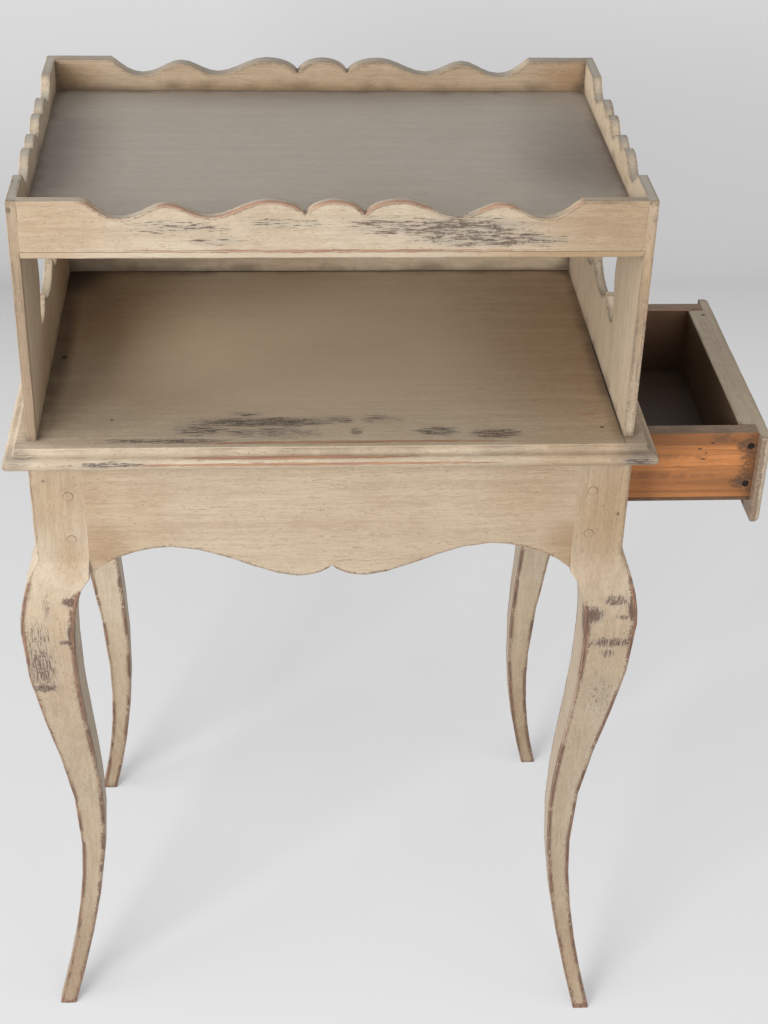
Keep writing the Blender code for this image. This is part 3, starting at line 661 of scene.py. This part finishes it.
    def crested(self, base):
        """Bright wood on the front half of a scalloped edge, where it stands high."""
        start, full, half_length = self.age.crest
        upward = self.step(self.looks["Z"], 0.15, 0.35)
        depth = self.plus(self.at["Y"], self.step(self.medium, 0.3, 0.7, -0.0005, 0.0005))
        front = self.step(depth, CREST_BACK - 0.0003, CREST_BACK + 0.0003, 1, 0)
        height = self.plus(self.at["Z"], self.step(self.patches, 0.35, 0.65, -0.005, 0.003))
        high = self.step(height, start, full)
        from_middle = self.unsigned(self.minus(self.at["X"], MIDDLE))
        inner = self.step(from_middle, half_length, half_length + 0.006, 1, 0)
        band = self.times(self.times(upward, front), self.times(high, inner))
        return self.mix(self.times(band, 0.9), base, self.fresh_wood)

    def left_bare(self, base):
        """A drawer front's inner face, with painted shade between the sides, and its ends behind the paint's
        lap.
        """
        c = colours()
        inward = self.step(self.looks["X"], -0.7, -0.5, 1, 0)
        raw = self.mix(self.fibres, darker(c.aged, 0.6), c.aged)
        across = self.unsigned(self.at["Y"])
        # Painted shade of the drawer's inside, between its sides
        between = self.step(across, SIDE_INNER - 0.0002, SIDE_INNER + 0.0002, 0.85, 0)
        raw = self.mix(between, raw, c.inside)
        behind = self.plus(self.at["X"], self.step(self.mottled, 0.3, 0.7, -0.0008, 0.0008))
        behind = self.step(behind, self.age.bare, self.age.bare + 0.0006, 1, 0)
        ends = self.times(behind, self.step(across, FRONT_ENDS, FRONT_ENDS + 0.001))
        ends = self.times(ends, self.step(self.looks["Z"], 0.5, 0.6, 1, 0))
        return self.mix(self.most(inward, ends), base, raw)


def painted(name, grain, kind, seed, age):
    """Brushed paint: worn through at the arrises, scuffed where it is handled."""
    m = PaintedBoard(name, grain, seed, age)
    base = m.coat(kind)
    if kind == "paint":
        base = m.dusty(base)
    base = m.dots(m.discoloured_and_shaded(base), age.dots)
    past = m.wear()
    worn = m.step(past, -0.03, 0.04)
    base, edge = m.edged(base, past)
    rough = worn
    if age.rubs:
        base, through = m.rubbed(base)
        rough = m.most(rough, through)
    if age.scuffs:
        base, dark = m.scuffed(base)
        rough = m.most(rough, dark)
    base = m.mix(worn, base, edge)
    if age.crest:
        base = m.crested(base)
    if age.bare:
        base = m.left_bare(base)
    m.put(m.shader.inputs["Base Color"], base)
    dull = m.step(m.tone, 0.35, 0.65, 0.62, 0.5, smooth=False)
    m.put(m.shader.inputs["Roughness"], m.plus(dull, m.times(rough, 0.18)))
    strokes = m.plus(m.times(m.medium, 0.5), m.times(m.fine, 0.3))
    sunk = m.times(rough, 0.25) if age.scuffs or age.rubs else 0
    m.bump(m.minus(strokes, sunk), 0.0003)
    return m.material


def drawer_wood(m, base, cloudy):
    """Handled top edges, and painted light and shade on the inside: lighter at its top and near the table
    only.
    """
    c = colours()
    level = m.step(m.looks["Z"], 0.7, 0.95)
    handled = m.mix(m.step(m.fine, 0.35, 0.65), c.aged, darker(c.aged, 0.6))
    handled = m.mix(m.step(cloudy, 0.45, 0.6, 0, 0.5), handled, c.grime_and_shade)
    base = m.mix(m.times(level, 0.9), base, handled)
    # Painted shade on the drawer's inside, with painted light near its top and towards the table
    within = m.step(m.unsigned(m.at["Y"]), INSIDE_HALF, INSIDE_HALF + 0.002, 1, 0)
    lit = m.step(m.at["X"], LIT_FROM, LIT_TO, 1, 0.3)
    lit = m.step(m.at["Z"], INSIDE_LOW, INSIDE_HIGH, 0, lit)
    shadow = m.mix(lit, darker(c.inside, 0.4), c.rubbed_and_lit_wood)
    below = m.step(m.at["Z"], INSIDE_HIGH - 0.0007, INSIDE_HIGH - 0.0001, 0.92, 0)
    return m.mix(m.times(within, below), base, shadow)


def bare_wood(name, grain, kind, seed, stains_and_shade=(), dots=(), drawer=False):
    """Planed pine: long growth lines and pores, dark where it has been handled, with dirt and painted shade
    in the corners and painted shade inside the drawer.
    """
    m = Board(name, grain, shifts(seed, 1.9, 0.83, 1.31), 0.004)
    c = colours()
    tint = Vector(getattr(c, kind))
    growth = m.noise(m.scaled(along(grain, 1.2, 48), m.shift), detail=2, rough=0.5, distortion=0.4)
    rings = m.sum("FRACT", m.times(growth, 11.0))
    cloudy = m.noise(m.scaled((14, 14, 14), m.shift), detail=4)
    flecks = m.noise(m.scaled(along(grain, 170, 260), m.shift), detail=4, rough=0.75)
    base = m.mix(m.step(growth, 0.38, 0.6), tint * 0.55, tint * 1.3)
    base = m.mix(m.step(cloudy, 0.35, 0.65, 0.45, 0), base, tint * 0.6)
    base = m.mix(m.step(rings, 0.55, 1, 0, 0.5), base, tint * 0.5)
    base = m.mix(m.step(m.fine, 0.5, 0.7, 0, 0.4), base, tint * 0.55)
    base = m.mix(m.step(m.medium, 0.55, 0.72, 0, 0.35), base, tint * 0.6)
    for centre, radii, strength in stains_and_shade:
        near = m.times(m.near(centre, radii), m.step(flecks, 0.35, 0.65, 0.3, 1.8))
        stain = m.mix(m.step(flecks, 0.45, 0.6), c.stained_pine, c.grime_and_shade)
        base = m.mix(m.step(near, 0, 0.7, 0, strength), base, stain)
    base = m.dots(base, dots)
    if drawer:
        base = drawer_wood(m, base, cloudy)
    # Dirt and painted shade in the corners
    base = m.mix(m.step(m.corner(DIRT_AND_SHADE_REACH, False, 4), 0.45, 0.9, 0.6, 0), base, tint * 0.2)
    m.put(m.shader.inputs["Base Color"], base)
    m.put(m.shader.inputs["Roughness"], m.step(m.fine, 0.3, 0.7, 0.5, 0.7, smooth=False))
    m.bump(m.plus(m.times(rings, -0.3), m.times(m.fine, 0.5)), 0.0002)
    return m.material


def iron(name):
    """Forged iron with a bloom of rust."""
    m = Mixer(name)
    bloom = m.noise(m.scaled((500, 500, 500)), detail=4)
    m.put(m.shader.inputs["Base Color"], m.mix(m.step(bloom, 0.5, 0.7), colours().iron, colours().rust))
    m.shader.inputs["Metallic"].default_value = 0.7
    m.put(m.shader.inputs["Roughness"], m.step(bloom, 0.4, 0.7, 0.45, 0.8, smooth=False))
    m.bump(bloom, 0.0002)
    return m.material


# Marks on the boards: each a place from the table's middle, radii and a strength

SKIN = 0.012  # how deep a mark on one face reaches into its board


def on_front(y, *rows, reach=SKIN):
    """Marks on an upright face: x, z, half width, half height and strength."""
    return tuple(((x, y, z), (wide, reach, high), strength) for x, z, wide, high, strength in rows)


def on_top(z, *rows, reach=SKIN):
    """Marks on a level face: x, y, half width, half depth and strength."""
    return tuple(((x, y, z), (wide, deep, reach), strength) for x, y, wide, deep, strength in rows)


MARKS = {
    # The back legs' stains make them darker towards the foot
    "leg_back_left": {"stains_and_shade": (((-0.22, 0.15, 0.05), (0.06, 0.08, 0.25), 0.5),)},
    "leg_back_right": {"stains_and_shade": (((0.21, 0.15, 0.05), (0.06, 0.08, 0.3), 0.6),)},
    "drawer_bottom": {"stains_and_shade": (((0.1, -0.116, 0.522), (0.5, 0.004, 0.01), 0.7),)},
    "drawer_front": {"dots": (((0.3401, 0.0935, 0.5835), (0.0022, 0.0022, 0.004), 0.95),)},
}
MARKS["leg_front_left"] = {
    "scuffs": on_front(
        -0.173,
        (-0.233, 0.381, 0.01, 0.004, 1.2), (-0.233, 0.404, 0.01, 0.02, 0.95),
        (-0.225, 0.463, 0.003, 0.01, 0.6), (-0.2055, 0.467, 0.006, 0.003, 1.5),
        (-0.2075, 0.439, 0.0025, 0.006, 1.5), (-0.212, 0.43, 0.005, 0.002, 1.1),
        (-0.234, 0.432, 0.008, 0.016, 0.7),
    ),
    "strong": (
        ((-0.207, -0.168, 0.452), (0.02, 0.03, 0.034), 0.6),
        ((-0.205, -0.165, 0.4), (0.02, 0.03, 0.09), 0.25),
        ((-0.243, -0.168, 0.45), (0.02, 0.04, 0.05), 0.2),
        ((-0.207, -0.168, 0.495), (0.02, 0.03, 0.022), -1),
        ((-0.193, -0.165, 0.51), (0.02, 0.03, 0.045), -1.5),
    ),
    "stains_and_shade": (
        ((-0.22, -0.17, 0.43), (0.05, 0.03, 0.08), 0.35),
        ((-0.22, -0.159, 0.555), (0.05, 0.03, 0.05), 0.5),
        ((-0.205, -0.165, 0.505), (0.02, 0.02, 0.03), 0.6),
        # These two: darker towards the foot
        ((-0.23, -0.13, 0), (0.06, 0.08, 0.2), 0.6),
        ((-0.22, -0.14, 0.25), (0.06, 0.06, 0.2), 0.2),
    ),
    "soot_and_shade": (
        # darker towards the foot
        ((-0.23, -0.13, 0), (0.06, 0.08, 0.25), 0.3),
        ((-0.22, -0.14, 0.25), (0.06, 0.06, 0.2), 0.08),
    ),
    "dots": (((-0.221, -0.1595, 0.572), (0.002, 0.004, 0.0016), 0.5),),
}
MARKS["leg_front_right"] = {
    "scuffs": on_front(
        -0.173,
        (0.2085, 0.449, 0.0085, 0.0065, 1.3), (0.203, 0.437, 0.005, 0.01, 1.45),
        (0.228, 0.462, 0.008, 0.004, 1.1), (0.243, 0.455, 0.004, 0.008, 1.5),
        (0.235, 0.447, 0.006, 0.002, 0.8), (0.225, 0.421, 0.017, 0.004, 1),
        (0.226, 0.409, 0.005, 0.004, 0.8), (0.224, 0.361, 0.012, 0.021, 0.5),
    ),
    "strong": (
        ((0.244, -0.168, 0.44), (0.03, 0.04, 0.05), 0.4),
        ((0.203, -0.168, 0.42), (0.02, 0.03, 0.05), 0.25),
        ((0.205, -0.168, 0.488), (0.02, 0.03, 0.035), -1),
        ((0.193, -0.165, 0.505), (0.02, 0.03, 0.05), -1.5),
    ),
    "stains_and_shade": (
        ((0.22, -0.17, 0.42), (0.05, 0.03, 0.08), 0.4),
        ((0.22, -0.159, 0.54), (0.06, 0.03, 0.08), 0.75),
        # These two: darker towards the foot
        ((0.21, -0.13, 0), (0.06, 0.08, 0.22), 0.6),
        ((0.21, -0.14, 0.25), (0.06, 0.06, 0.2), 0.15),
    ),
    "soot_and_shade": (
        # darker towards the foot
        ((0.21, -0.13, 0), (0.06, 0.08, 0.25), 0.3),
        ((0.21, -0.14, 0.25), (0.06, 0.06, 0.25), 0.08),
    ),
    "dots": (((0.2248, -0.1595, 0.5363), (0.0015, 0.004, 0.0022), 0.6),),
}
MARKS["apron_front"] = {
    "strong": on_front(
        -0.159,
        (-0.1905, 0.51, 0.016, 0.06, -1.5), (0.1905, 0.51, 0.016, 0.06, -1.5),
        reach=0.03,
    ),
    "stains_and_shade": on_front(
        -0.159,
        (-0.182, 0.508, 0.034, 0.036, 0.7), (0.193, 0.507, 0.034, 0.036, 0.7),
        (0, 0.55, 0.35, 0.12, 0.22), (-0.194, 0.56, 0.03, 0.05, 0.35),
        (0.16, 0.56, 0.06, 0.06, 0.4),
        reach=0.02,
    ),
}
MARKS["table_top"] = {
    "scuffs": (
        *on_top(
            0.605,
            (-0.067, -0.116, 0.012, 0.003, 0.8), (-0.054, -0.129, 0.046, 0.006, 1.15),
            (-0.101, -0.14, 0.019, 0.008, 0.9), (-0.048, -0.145, 0.034, 0.008, 0.8),
            (0.006, -0.126, 0.012, 0.005, 0.8), (0.037, -0.125, 0.016, 0.005, 0.7),
            (0.018, -0.145, 0.004, 0.006, 0.75), (0.081, -0.145, 0.015, 0.006, 0.9),
            (0.125, -0.149, 0.017, 0.006, 1.1), (-0.124, -0.156, 0.045, 0.003, 1),
        ),
        *on_front(-0.175, (-0.168, 0.595, 0.026, 0.002, 1), (-0.234, 0.599, 0.01, 0.004, 0.6)),
        *on_front(-0.178, (0.232, 0.594, 0.012, 0.003, 0.9)),
    ),
    # Painted light: a paler pool over the middle of the niche floor
    "painted_light": (((-0.02, 0, 0.605), (0.26, 0.17, 0.05), 0.75),),
    "rubs": (
        ((0.005, -0.1598, 0.605), (0.18, 0.0028, 0.004), 1.2),
        ((-0.03, -0.172, 0.6), (0.15, 0.0036, 0.0036), 1.45),
        ((-0.02, -0.1755, 0.5945), (0.21, 0.004, 0.0018), 1.2),
        ((0.2, -0.12, 0.605), (0.012, 0.004, 0.004), 0.8),
    ),
    # Painted shadow of the left side on the niche floor's left; browner and darker on the right
    "stains_and_shade": on_top(0.605, (0.22, 0, 0.14, 0.3, 0.8), (-0.2, 0.08, 0.12, 0.14, 0.7), reach=0.1),
    "soot_and_shade": (
        # Painted shadow of the left side: in the niche's back-left corner and along the side's foot
        *on_top(0.605, (-0.222, 0.14, 0.05, 0.07, 0.97), (-0.216, 0, 0.012, 0.16, 0.7), reach=0.05),
        ((0.2205, -0.03, 0.605), (0.01, 0.19, 0.02), 0.4),
        ((0.235, -0.172, 0.598), (0.026, 0.03, 0.02), 0.65),
        ((-0.24, -0.172, 0.598), (0.018, 0.03, 0.02), 0.3),
    ),
    "dots": (
        *on_top(
            0.605,
            (0.223, -0.07, 0.0013, 0.12, 0.95), (0, 0.1418, 0.3, 0.0012, 0.7),
            (0.2089, -0.1408, 0.0022, 0.0016, 0.9), (0.2206, 0.0502, 0.0016, 0.0016, 0.6),
            (-0.1693, -0.1235, 0.0016, 0.003, 0.5),
            reach=0.004,
        ),
        # Painted shadow in the niche's back-left corner
        ((-0.226, 0.145, 0.605), (0.035, 0.06, 0.02), 0.45),
        ((-0.2145, -0.02, 0.605), (0.003, 0.004, 0.004), 0.9),
    ),
}
MARKS["tray_board"] = {
    "stains_and_shade": on_top(0.757, (0.19, -0.155, 0.14, 0.01, 0.9), (-0.22, -0.155, 0.05, 0.01, 0.5), reach=0.01),
    "rubs": (((0, -0.155, 0.7592), (0.22, 0.004, 0.0014), 0.7),),
    "soot_and_shade": (
        *on_top(0.772, (0, 0.1425, 0.35, 0.0025, 0.9), (0.223, 0, 0.004, 0.15, 0.8), reach=0.01),
        # Greyer towards the tray's right, left and back
        *on_top(0.772, (0.22, 0, 0.1, 0.18, 0.6), (0.2, -0.03, 0.08, 0.07, 0.25), reach=0.05),
        *on_top(0.772, (-0.21, 0, 0.06, 0.18, 0.5), (0, 0.14, 0.3, 0.05, 0.4), reach=0.05),
    ),
}
MARKS["front_gallery_rail"] = {
    "scuffs": on_front(
        -0.154,
        (-0.113, 0.778, 0.027, 0.005, 0.65), (-0.098, 0.779, 0.011, 0.002, 0.9),
        (-0.086, 0.768, 0.016, 0.003, 0.6), (-0.043, 0.782, 0.025, 0.004, 0.6),
        (0.046, 0.779, 0.029, 0.006, 0.85), (0.089, 0.778, 0.039, 0.007, 1),
        (0.111, 0.769, 0.043, 0.005, 0.9), (-0.017, 0.781, 0.006, 0.003, 0.7),
        (0.017, 0.782, 0.009, 0.002, 0.5),
    ),
    "strong": on_front(
        -0.15,
        (-0.2235, 0.778, 0.012, 0.04, -1.2), (0.2235, 0.778, 0.012, 0.04, -1.2),
        (0, 0.755, 0.5, 0.016, -1.2), (-0.21, 0.798, 0.035, 0.03, -0.5),
        reach=0.03,
    ),
    "rubs": (((0, -0.155, 0.7605), (0.24, 0.004, 0.0012), 1),),
    "dots": on_front(
        -0.1544,
        (-0.2236, 0.789, 0.0006, 0.012, 0.75), (0.2236, 0.785, 0.0005, 0.014, 0.6),
        reach=0.003,
    ),
    "stains_and_shade": on_front(-0.154, (0.21, 0.78, 0.09, 0.06, 0.6), (-0.22, 0.78, 0.1, 0.06, 0.35), reach=0.02),
}
MARKS["back_panel"] = {
    "stains_and_shade": on_front(
        0.142,
        (0.22, 0.785, 0.06, 0.04, 0.8), (-0.22, 0.785, 0.05, 0.04, 0.7),
        (0, 0.785, 0.4, 0.03, 0.45), (0, 0.772, 0.3, 0.012, 0.6),
        reach=0.02,
    ),
}
MARKS["side_panel_left"] = {
    "soot_and_shade": (((-0.2275, -0.1545, 0.67), (0.02, 0.01, 0.25), 0.3),),
    "dots": (((-0.229, -0.1544, 0.7915), (0.0026, 0.004, 0.003), 0.6),),
    "stains_and_shade": (
        # These two: painted shade on the left side's unlit inner face
        ((-0.2235, 0.1, 0.65), (0.02, 0.1, 0.1), 0.8),
        ((-0.2235, -0.06, 0.62), (0.02, 0.12, 0.05), 0.5),
        ((-0.2275, -0.1545, 0.67), (0.02, 0.01, 0.25), 0.6),
    ),
}
MARKS["side_panel_right"] = {
    # Painted light on the inner face, warmed by the stain at the same place
    "painted_light": (((0.216, 0, 0.7), (0.006, 0.2, 0.1), 0.8),),
    "stains_and_shade": (
        ((0.2285, -0.156, 0.72), (0.02, 0.004, 0.14), 0.9),
        ((0.218, 0, 0.7), (0.006, 0.2, 0.1), 0.3),
    ),
    "scuffs": on_front(
        -0.1544,
        (0.2242, 0.7, 0.0005, 0.045, 1.5), (0.2285, 0.66, 0.0012, 0.012, 0.9),
        reach=0.003,
    ),
    "soot_and_shade": (((0.2238, -0.1544, 0.68), (0.0014, 0.004, 0.075), 0.3),),
    "strong": (((0.2275, -0.1544, 0.68), (0.012, 0.02, 0.09), 0.35),),
}
MARKS["drawer_side_front"] = {
    "stains_and_shade": on_front(
        -0.116,
        (0.34, 0.555, 0.013, 0.04, 0.8), (0.334, 0.572, 0.011, 0.008, 0.9),
        (0.332, 0.538, 0.012, 0.008, 0.9), (0.315, 0.579, 0.016, 0.006, 0.6),
        (0.25, 0.5445, 0.08, 0.004, 0.4), (0.26, 0.562, 0.06, 0.003, 0.35),
    ),
    "dots": on_front(
        -0.116,
        (0.2953, 0.5692, 0.0022, 0.0011, 0.8), (0.3007, 0.5654, 0.0014, 0.0011, 0.7),
        (0.2989, 0.5598, 0.0026, 0.0011, 0.8), (0.3052, 0.5747, 0.0024, 0.001, 0.8),
        reach=0.004,
    ),
}

# Pieces


def dress(node, seed, width=None, seam=None, **finish):
    """Copies one board, rubs it and gives it the finish that its record names."""
    kind = SLOTS[slot_of(node)]
    grain = next((axis for axis, starts in GRAIN.items() if node.startswith(starts)), "X")
    piece = rubbed_copy(node, width, seam)
    finish.update(MARKS.get(node, {}))
    if kind in ("paint", "tray"):
        material = painted("paint_" + node, grain, kind, seed, Ageing(**finish))
    else:
        material = bare_wood("wood_" + node, grain, kind, seed, **finish)
    place(piece, node, material)


def leg_paint(peg):
    """The paint of the leg that a peg goes through."""
    words = peg.split("_")
    # A left apron's peg names the side before the end
    corner = "_".join(words[3:1:-1] if words[2] == "left" else words[2:4])
    material = bpy.data.materials.get("paint_leg_" + corner)
    if material is None:
        raise RuntimeError(f"{peg} is painted with its leg, which comes first")
    return material


class BEDSIDE_OT_legs(bpy.types.Operator):
    """Rub and paint the four cabriole legs."""

    bl_idname = "bedside.legs"
    bl_label = "Legs"

    def execute(self, context):
        look = {"wear": 0.6, "sound": 0.66, "sound_above": 0.47, "reach": 0.0066, "dirty": 0.3}
        for seed, corner in enumerate(("front_left", "front_right", "back_left", "back_right"), 1):
            dress("leg_" + corner, seed, width=0.0012, scuff=colours().brown_scuff, **look)
        return {"FINISHED"}


class BEDSIDE_OT_aprons(bpy.types.Operator):
    """Rub and paint the three scalloped aprons and the rail below the drawer."""

    bl_idname = "bedside.aprons"
    bl_label = "Aprons"

    def execute(self, context):
        for seed, node in enumerate(("apron_front", "apron_back", "apron_left", "drawer_rail"), 11):
            dress(node, seed, wear=0.45, sound=0.68, reach=0.004, dirty=0.3)
        return {"FINISHED"}


class BEDSIDE_OT_top(bpy.types.Operator):
    """Rub and paint the moulded top."""

    bl_idname = "bedside.top"
    bl_label = "Moulded top"

    def execute(self, context):
        dress("table_top", 21, wear=0.4, reach=0.004, edge="dirt", contrast=1.3, dust=0.12)
        return {"FINISHED"}


class BEDSIDE_OT_case(bpy.types.Operator):
    """Rub and paint the pierced sides, the back, the gallery rail and the tray."""

    bl_idname = "bedside.case"
    bl_label = "Case and tray"

    def execute(self, context):
        panel = {
            "width": 0.0014, "wear": 0.55, "sound": 0.75, "reach": 0.005,
            "edge": "dirt", "dust": 0.8, "dust_from": 0.74,
        }
        dress("side_panel_left", 31, **panel)
        dress("side_panel_right", 32, **panel)
        dress("back_panel", 33, seam=0.0016, **panel)
        dress("front_gallery_rail", 34, wear=0.4, sound=0.74, reach=0.004, crest=(0.7865, 0.7915, 0.172))
        dress("tray_board", 36, wear=0.3, cream_before=RAIL_BACK, contrast=0.6)
        return {"FINISHED"}


class BEDSIDE_OT_drawer(bpy.types.Operator):
    """Rub the drawer's boards: painted front, pine sides, back and bottom."""

    bl_idname = "bedside.drawer"
    bl_label = "Drawer"

    def execute(self, context):
        paint_lap = DRAWER_FACE - 0.0046
        dress("drawer_front", 41, sound=0.75, reach=0.005, edge="dirt", dust=0.12, bare=paint_lap)
        boards = ("drawer_side_front", "drawer_side_back", "drawer_back", "drawer_bottom")
        for seed, node in enumerate(boards, 42):
            dress(node, seed, drawer=True)
        return {"FINISHED"}


class BEDSIDE_OT_carcase(bpy.types.Operator):
    """Rub the runners, guides and glue blocks under the top."""

    bl_idname = "bedside.carcase"
    bl_label = "Runners and blocks"

    def execute(self, context):
        hidden = ("drawer_runner", "drawer_guide", "glue_block")
        nodes = sorted(node for node in frame["nodes"] if node.startswith(hidden))
        for seed, node in enumerate(nodes, 50):
            dress(node, seed)
        return {"FINISHED"}


class BEDSIDE_OT_pins(bpy.types.Operator):
    """Finish the pegs that hold the tenons and the nails that hold the boards."""

    bl_idname = "bedside.pins"
    bl_label = "Pegs and nails"

    def execute(self, context):
        nail = iron("iron_nails")
        for node in sorted(frame["nodes"]):
            if node.startswith("nail_"):
                place(rubbed_copy(node, NAIL_ARRIS), node, nail)
            elif node.startswith("peg_"):
                place(rubbed_copy(node, PEG_ARRIS), node, leg_paint(node))
        return {"FINISHED"}


# The studio

SWEEP_WIDTH = 10
SWEEP_DEPTH = 5.6
SWEEP_BACK = 1.6  # where the paper leaves the floor
SWEEP_RADIUS = 1.0
SWEEP_STEPS = 16
SWEEP_RISE = 3.5  # above the curve
GLOW_SPAN = 0.9  # the paper's glow grows from left to right over twice this
GLOW_LEFT, GLOW_RIGHT = 0.82, 1.14
AIR = 0.58

# Name, place, aim, width and power of each lamp
LAMPS = (
    ("key", (-1.35, -1.85, 1.15), (0, 0, 0.6), 1.1, 38),
    ("front", (0.9, -2.2, 1.3), (0, 0, 0.6), 1.1, 4),
    ("side", (-2.2, -0.4, 1.6), (0, 0, 0.5), 1.8, 38),
    ("low_fill", (2.4, -0.8, 0.35), (0, 0, 0.3), 1.4, 14),
)

# The camera, solved from the photograph's edges: place from the table's middle, and turns in radians
CAMERA_PLACE = (MIDDLE - 0.04977, -1.34993, 1.30721)
CAMERA_LOOKS_DOWN = 0.570759
CAMERA_LOOKS_RIGHT = 0.0753112
CAMERA_LEANS = 0.0291579
CAMERA_LENS = 63.97  # mm, for a frame 36 mm high


def sweep_paper():
    """Pale paper that glows evenly for the camera and is clear from behind."""
    m = Mixer("paper")
    c = colours()
    # Painted shade of faint folds in the paper
    fold_shade = m.noise(m.scaled((1.1, 0.6, 0.7)))
    m.put(m.shader.inputs["Base Color"], m.mix(m.step(fold_shade, 0.3, 0.7), darker(c.studio, 0.94), c.studio))
    m.shader.inputs["Roughness"].default_value = 0.9
    m.shader.inputs["Specular IOR Level"].default_value = 0.1
    ray = m.add("ShaderNodeLightPath").outputs
    seen = m.plus(m.plus(ray["Is Camera Ray"], ray["Is Glossy Ray"]), ray["Is Transmission Ray"])
    m.put(m.shader.inputs["Emission Color"], c.glow)
    fall = m.step(m.parts(m.where)["X"], -GLOW_SPAN, GLOW_SPAN, GLOW_LEFT, GLOW_RIGHT)
    m.put(m.shader.inputs["Emission Strength"], m.times(m.sum("MINIMUM", seen, 1.0), fall))
    surface = m.shader.outputs["BSDF"].links[0].to_socket
    from_behind = m.times(m.add("ShaderNodeNewGeometry").outputs["Backfacing"], ray["Is Camera Ray"])
    blend = m.add("ShaderNodeMixShader")
    m.put(blend.inputs[0], from_behind)
    m.put(blend.inputs[1], m.shader.outputs["BSDF"])
    m.put(blend.inputs[2], m.add("ShaderNodeBsdfTransparent").outputs["BSDF"])
    m.put(surface, blend.outputs[0])
    return m.material


def sweep():
    """A paper backdrop that curves up from the floor behind the table."""
    bpy.ops.object.select_all(action="DESELECT")
    bpy.ops.mesh.primitive_plane_add(size=1)
    piece = bpy.context.object
    piece.name = "studio_sweep"
    bpy.ops.object.mode_set(mode="EDIT")
    bpy.ops.mesh.select_mode(type="EDGE")
    bpy.ops.mesh.select_all(action="SELECT")
    bpy.ops.transform.resize(value=(SWEEP_WIDTH, SWEEP_DEPTH, 1))
    bpy.ops.transform.translate(value=(0, SWEEP_BACK - SWEEP_DEPTH / 2, 0))
    bpy.ops.mesh.select_all(action="DESELECT")
    mesh = bmesh.from_edit_mesh(piece.data)
    for edge in mesh.edges:
        edge.select = all(vert.co.y > 0 for vert in edge.verts)
    bmesh.update_edit_mesh(piece.data)
    centre = (0, SWEEP_BACK, SWEEP_RADIUS)
    bpy.ops.mesh.spin(steps=SWEEP_STEPS, angle=math.pi / 2, center=centre, axis=(1, 0, 0))
    bpy.ops.mesh.extrude_region_move(TRANSFORM_OT_translate={"value": (0, 0, SWEEP_RISE)})
    mesh = bmesh.from_edit_mesh(piece.data)
    floor = min(mesh.faces, key=lambda face: face.calc_center_median().y)
    bpy.ops.mesh.select_all(action="SELECT")
    bpy.ops.mesh.normals_make_consistent(inside=False)
    if floor.normal.z < 0:
        bpy.ops.mesh.flip_normals()
    bpy.ops.object.mode_set(mode="OBJECT")
    bpy.ops.object.shade_smooth()
    piece.data.materials.append(sweep_paper())


def softbox(name, stand, aim, size, power):
    light = bpy.data.lights.new(name, "AREA")
    light.shape = "SQUARE"
    light.size = size
    light.energy = power
    lamp = bpy.data.objects.new(name, light)
    bpy.context.scene.collection.objects.link(lamp)
    lamp.location = stand
    lamp.rotation_euler = (Vector(aim) - Vector(stand)).to_track_quat("-Z", "Y").to_euler()


def camera():
    """Stands where the photographer stood: 1.3 m up, looking down on the table's front."""
    data = bpy.data.cameras.new("camera")
    piece = bpy.data.objects.new("camera", data)
    bpy.context.scene.collection.objects.link(piece)
    data.sensor_width = 36
    data.lens = CAMERA_LENS
    data.clip_start = 0.05
    turn = Matrix.Rotation(-CAMERA_LOOKS_RIGHT, 4, "Z")
    turn = turn @ Matrix.Rotation(math.pi / 2 - CAMERA_LOOKS_DOWN, 4, "X")
    turn = turn @ Matrix.Rotation(CAMERA_LEANS, 4, "Z")
    piece.matrix_world = Matrix.Translation(CAMERA_PLACE) @ turn
    bpy.context.scene.camera = piece


class BEDSIDE_OT_studio(bpy.types.Operator):
    """Build the pale studio: paper sweep, soft lamps and the camera."""

    bl_idname = "bedside.studio"
    bl_label = "Studio"

    def execute(self, context):
        sweep()
        for lamp in LAMPS:
            softbox(*lamp)
        world = bpy.data.worlds.new("studio_air")
        world.use_nodes = True
        air = world.node_tree.nodes["Background"].inputs
        air["Color"].default_value = (1, 1, 1, 1)
        air["Strength"].default_value = AIR
        context.scene.world = world
        camera()
        return {"FINISHED"}


STEPS = (
    BEDSIDE_OT_legs,
    BEDSIDE_OT_aprons,
    BEDSIDE_OT_top,
    BEDSIDE_OT_case,
    BEDSIDE_OT_drawer,
    BEDSIDE_OT_carcase,
    BEDSIDE_OT_pins,
    BEDSIDE_OT_studio,
)


class BEDSIDE_PT_panel(bpy.types.Panel):
    """Lists the pieces and their sizes and colours."""

    bl_label = "Bedside table"
    bl_idname = "BEDSIDE_PT_panel"
    bl_space_type = "VIEW_3D"
    bl_region_type = "UI"
    bl_category = "Bedside"

    def draw(self, context):
        for group in (sizes(), colours()):
            for name in group.__annotations__:
                self.layout.prop(group, name)
        for step in STEPS:
            self.layout.operator(step.bl_idname)


CLASSES = (BedsideSizes, BedsideColours, *STEPS, BEDSIDE_PT_panel)


def register():
    for each in CLASSES:
        bpy.utils.register_class(each)
    bpy.types.Scene.bedside_sizes = PointerProperty(type=BedsideSizes)
    bpy.types.Scene.bedside_colours = PointerProperty(type=BedsideColours)


def unregister():
    del bpy.types.Scene.bedside_colours
    del bpy.types.Scene.bedside_sizes
    for each in reversed(CLASSES):
        bpy.utils.unregister_class(each)


def main():
    register()
    bpy.context.scene.view_settings.view_transform = "Standard"
    bpy.ops.bedside.legs()
    bpy.ops.bedside.aprons()
    bpy.ops.bedside.top()
    bpy.ops.bedside.case()
    bpy.ops.bedside.drawer()
    bpy.ops.bedside.carcase()
    bpy.ops.bedside.pins()
    bpy.ops.bedside.studio()


if __name__ == "__main__":
    main()
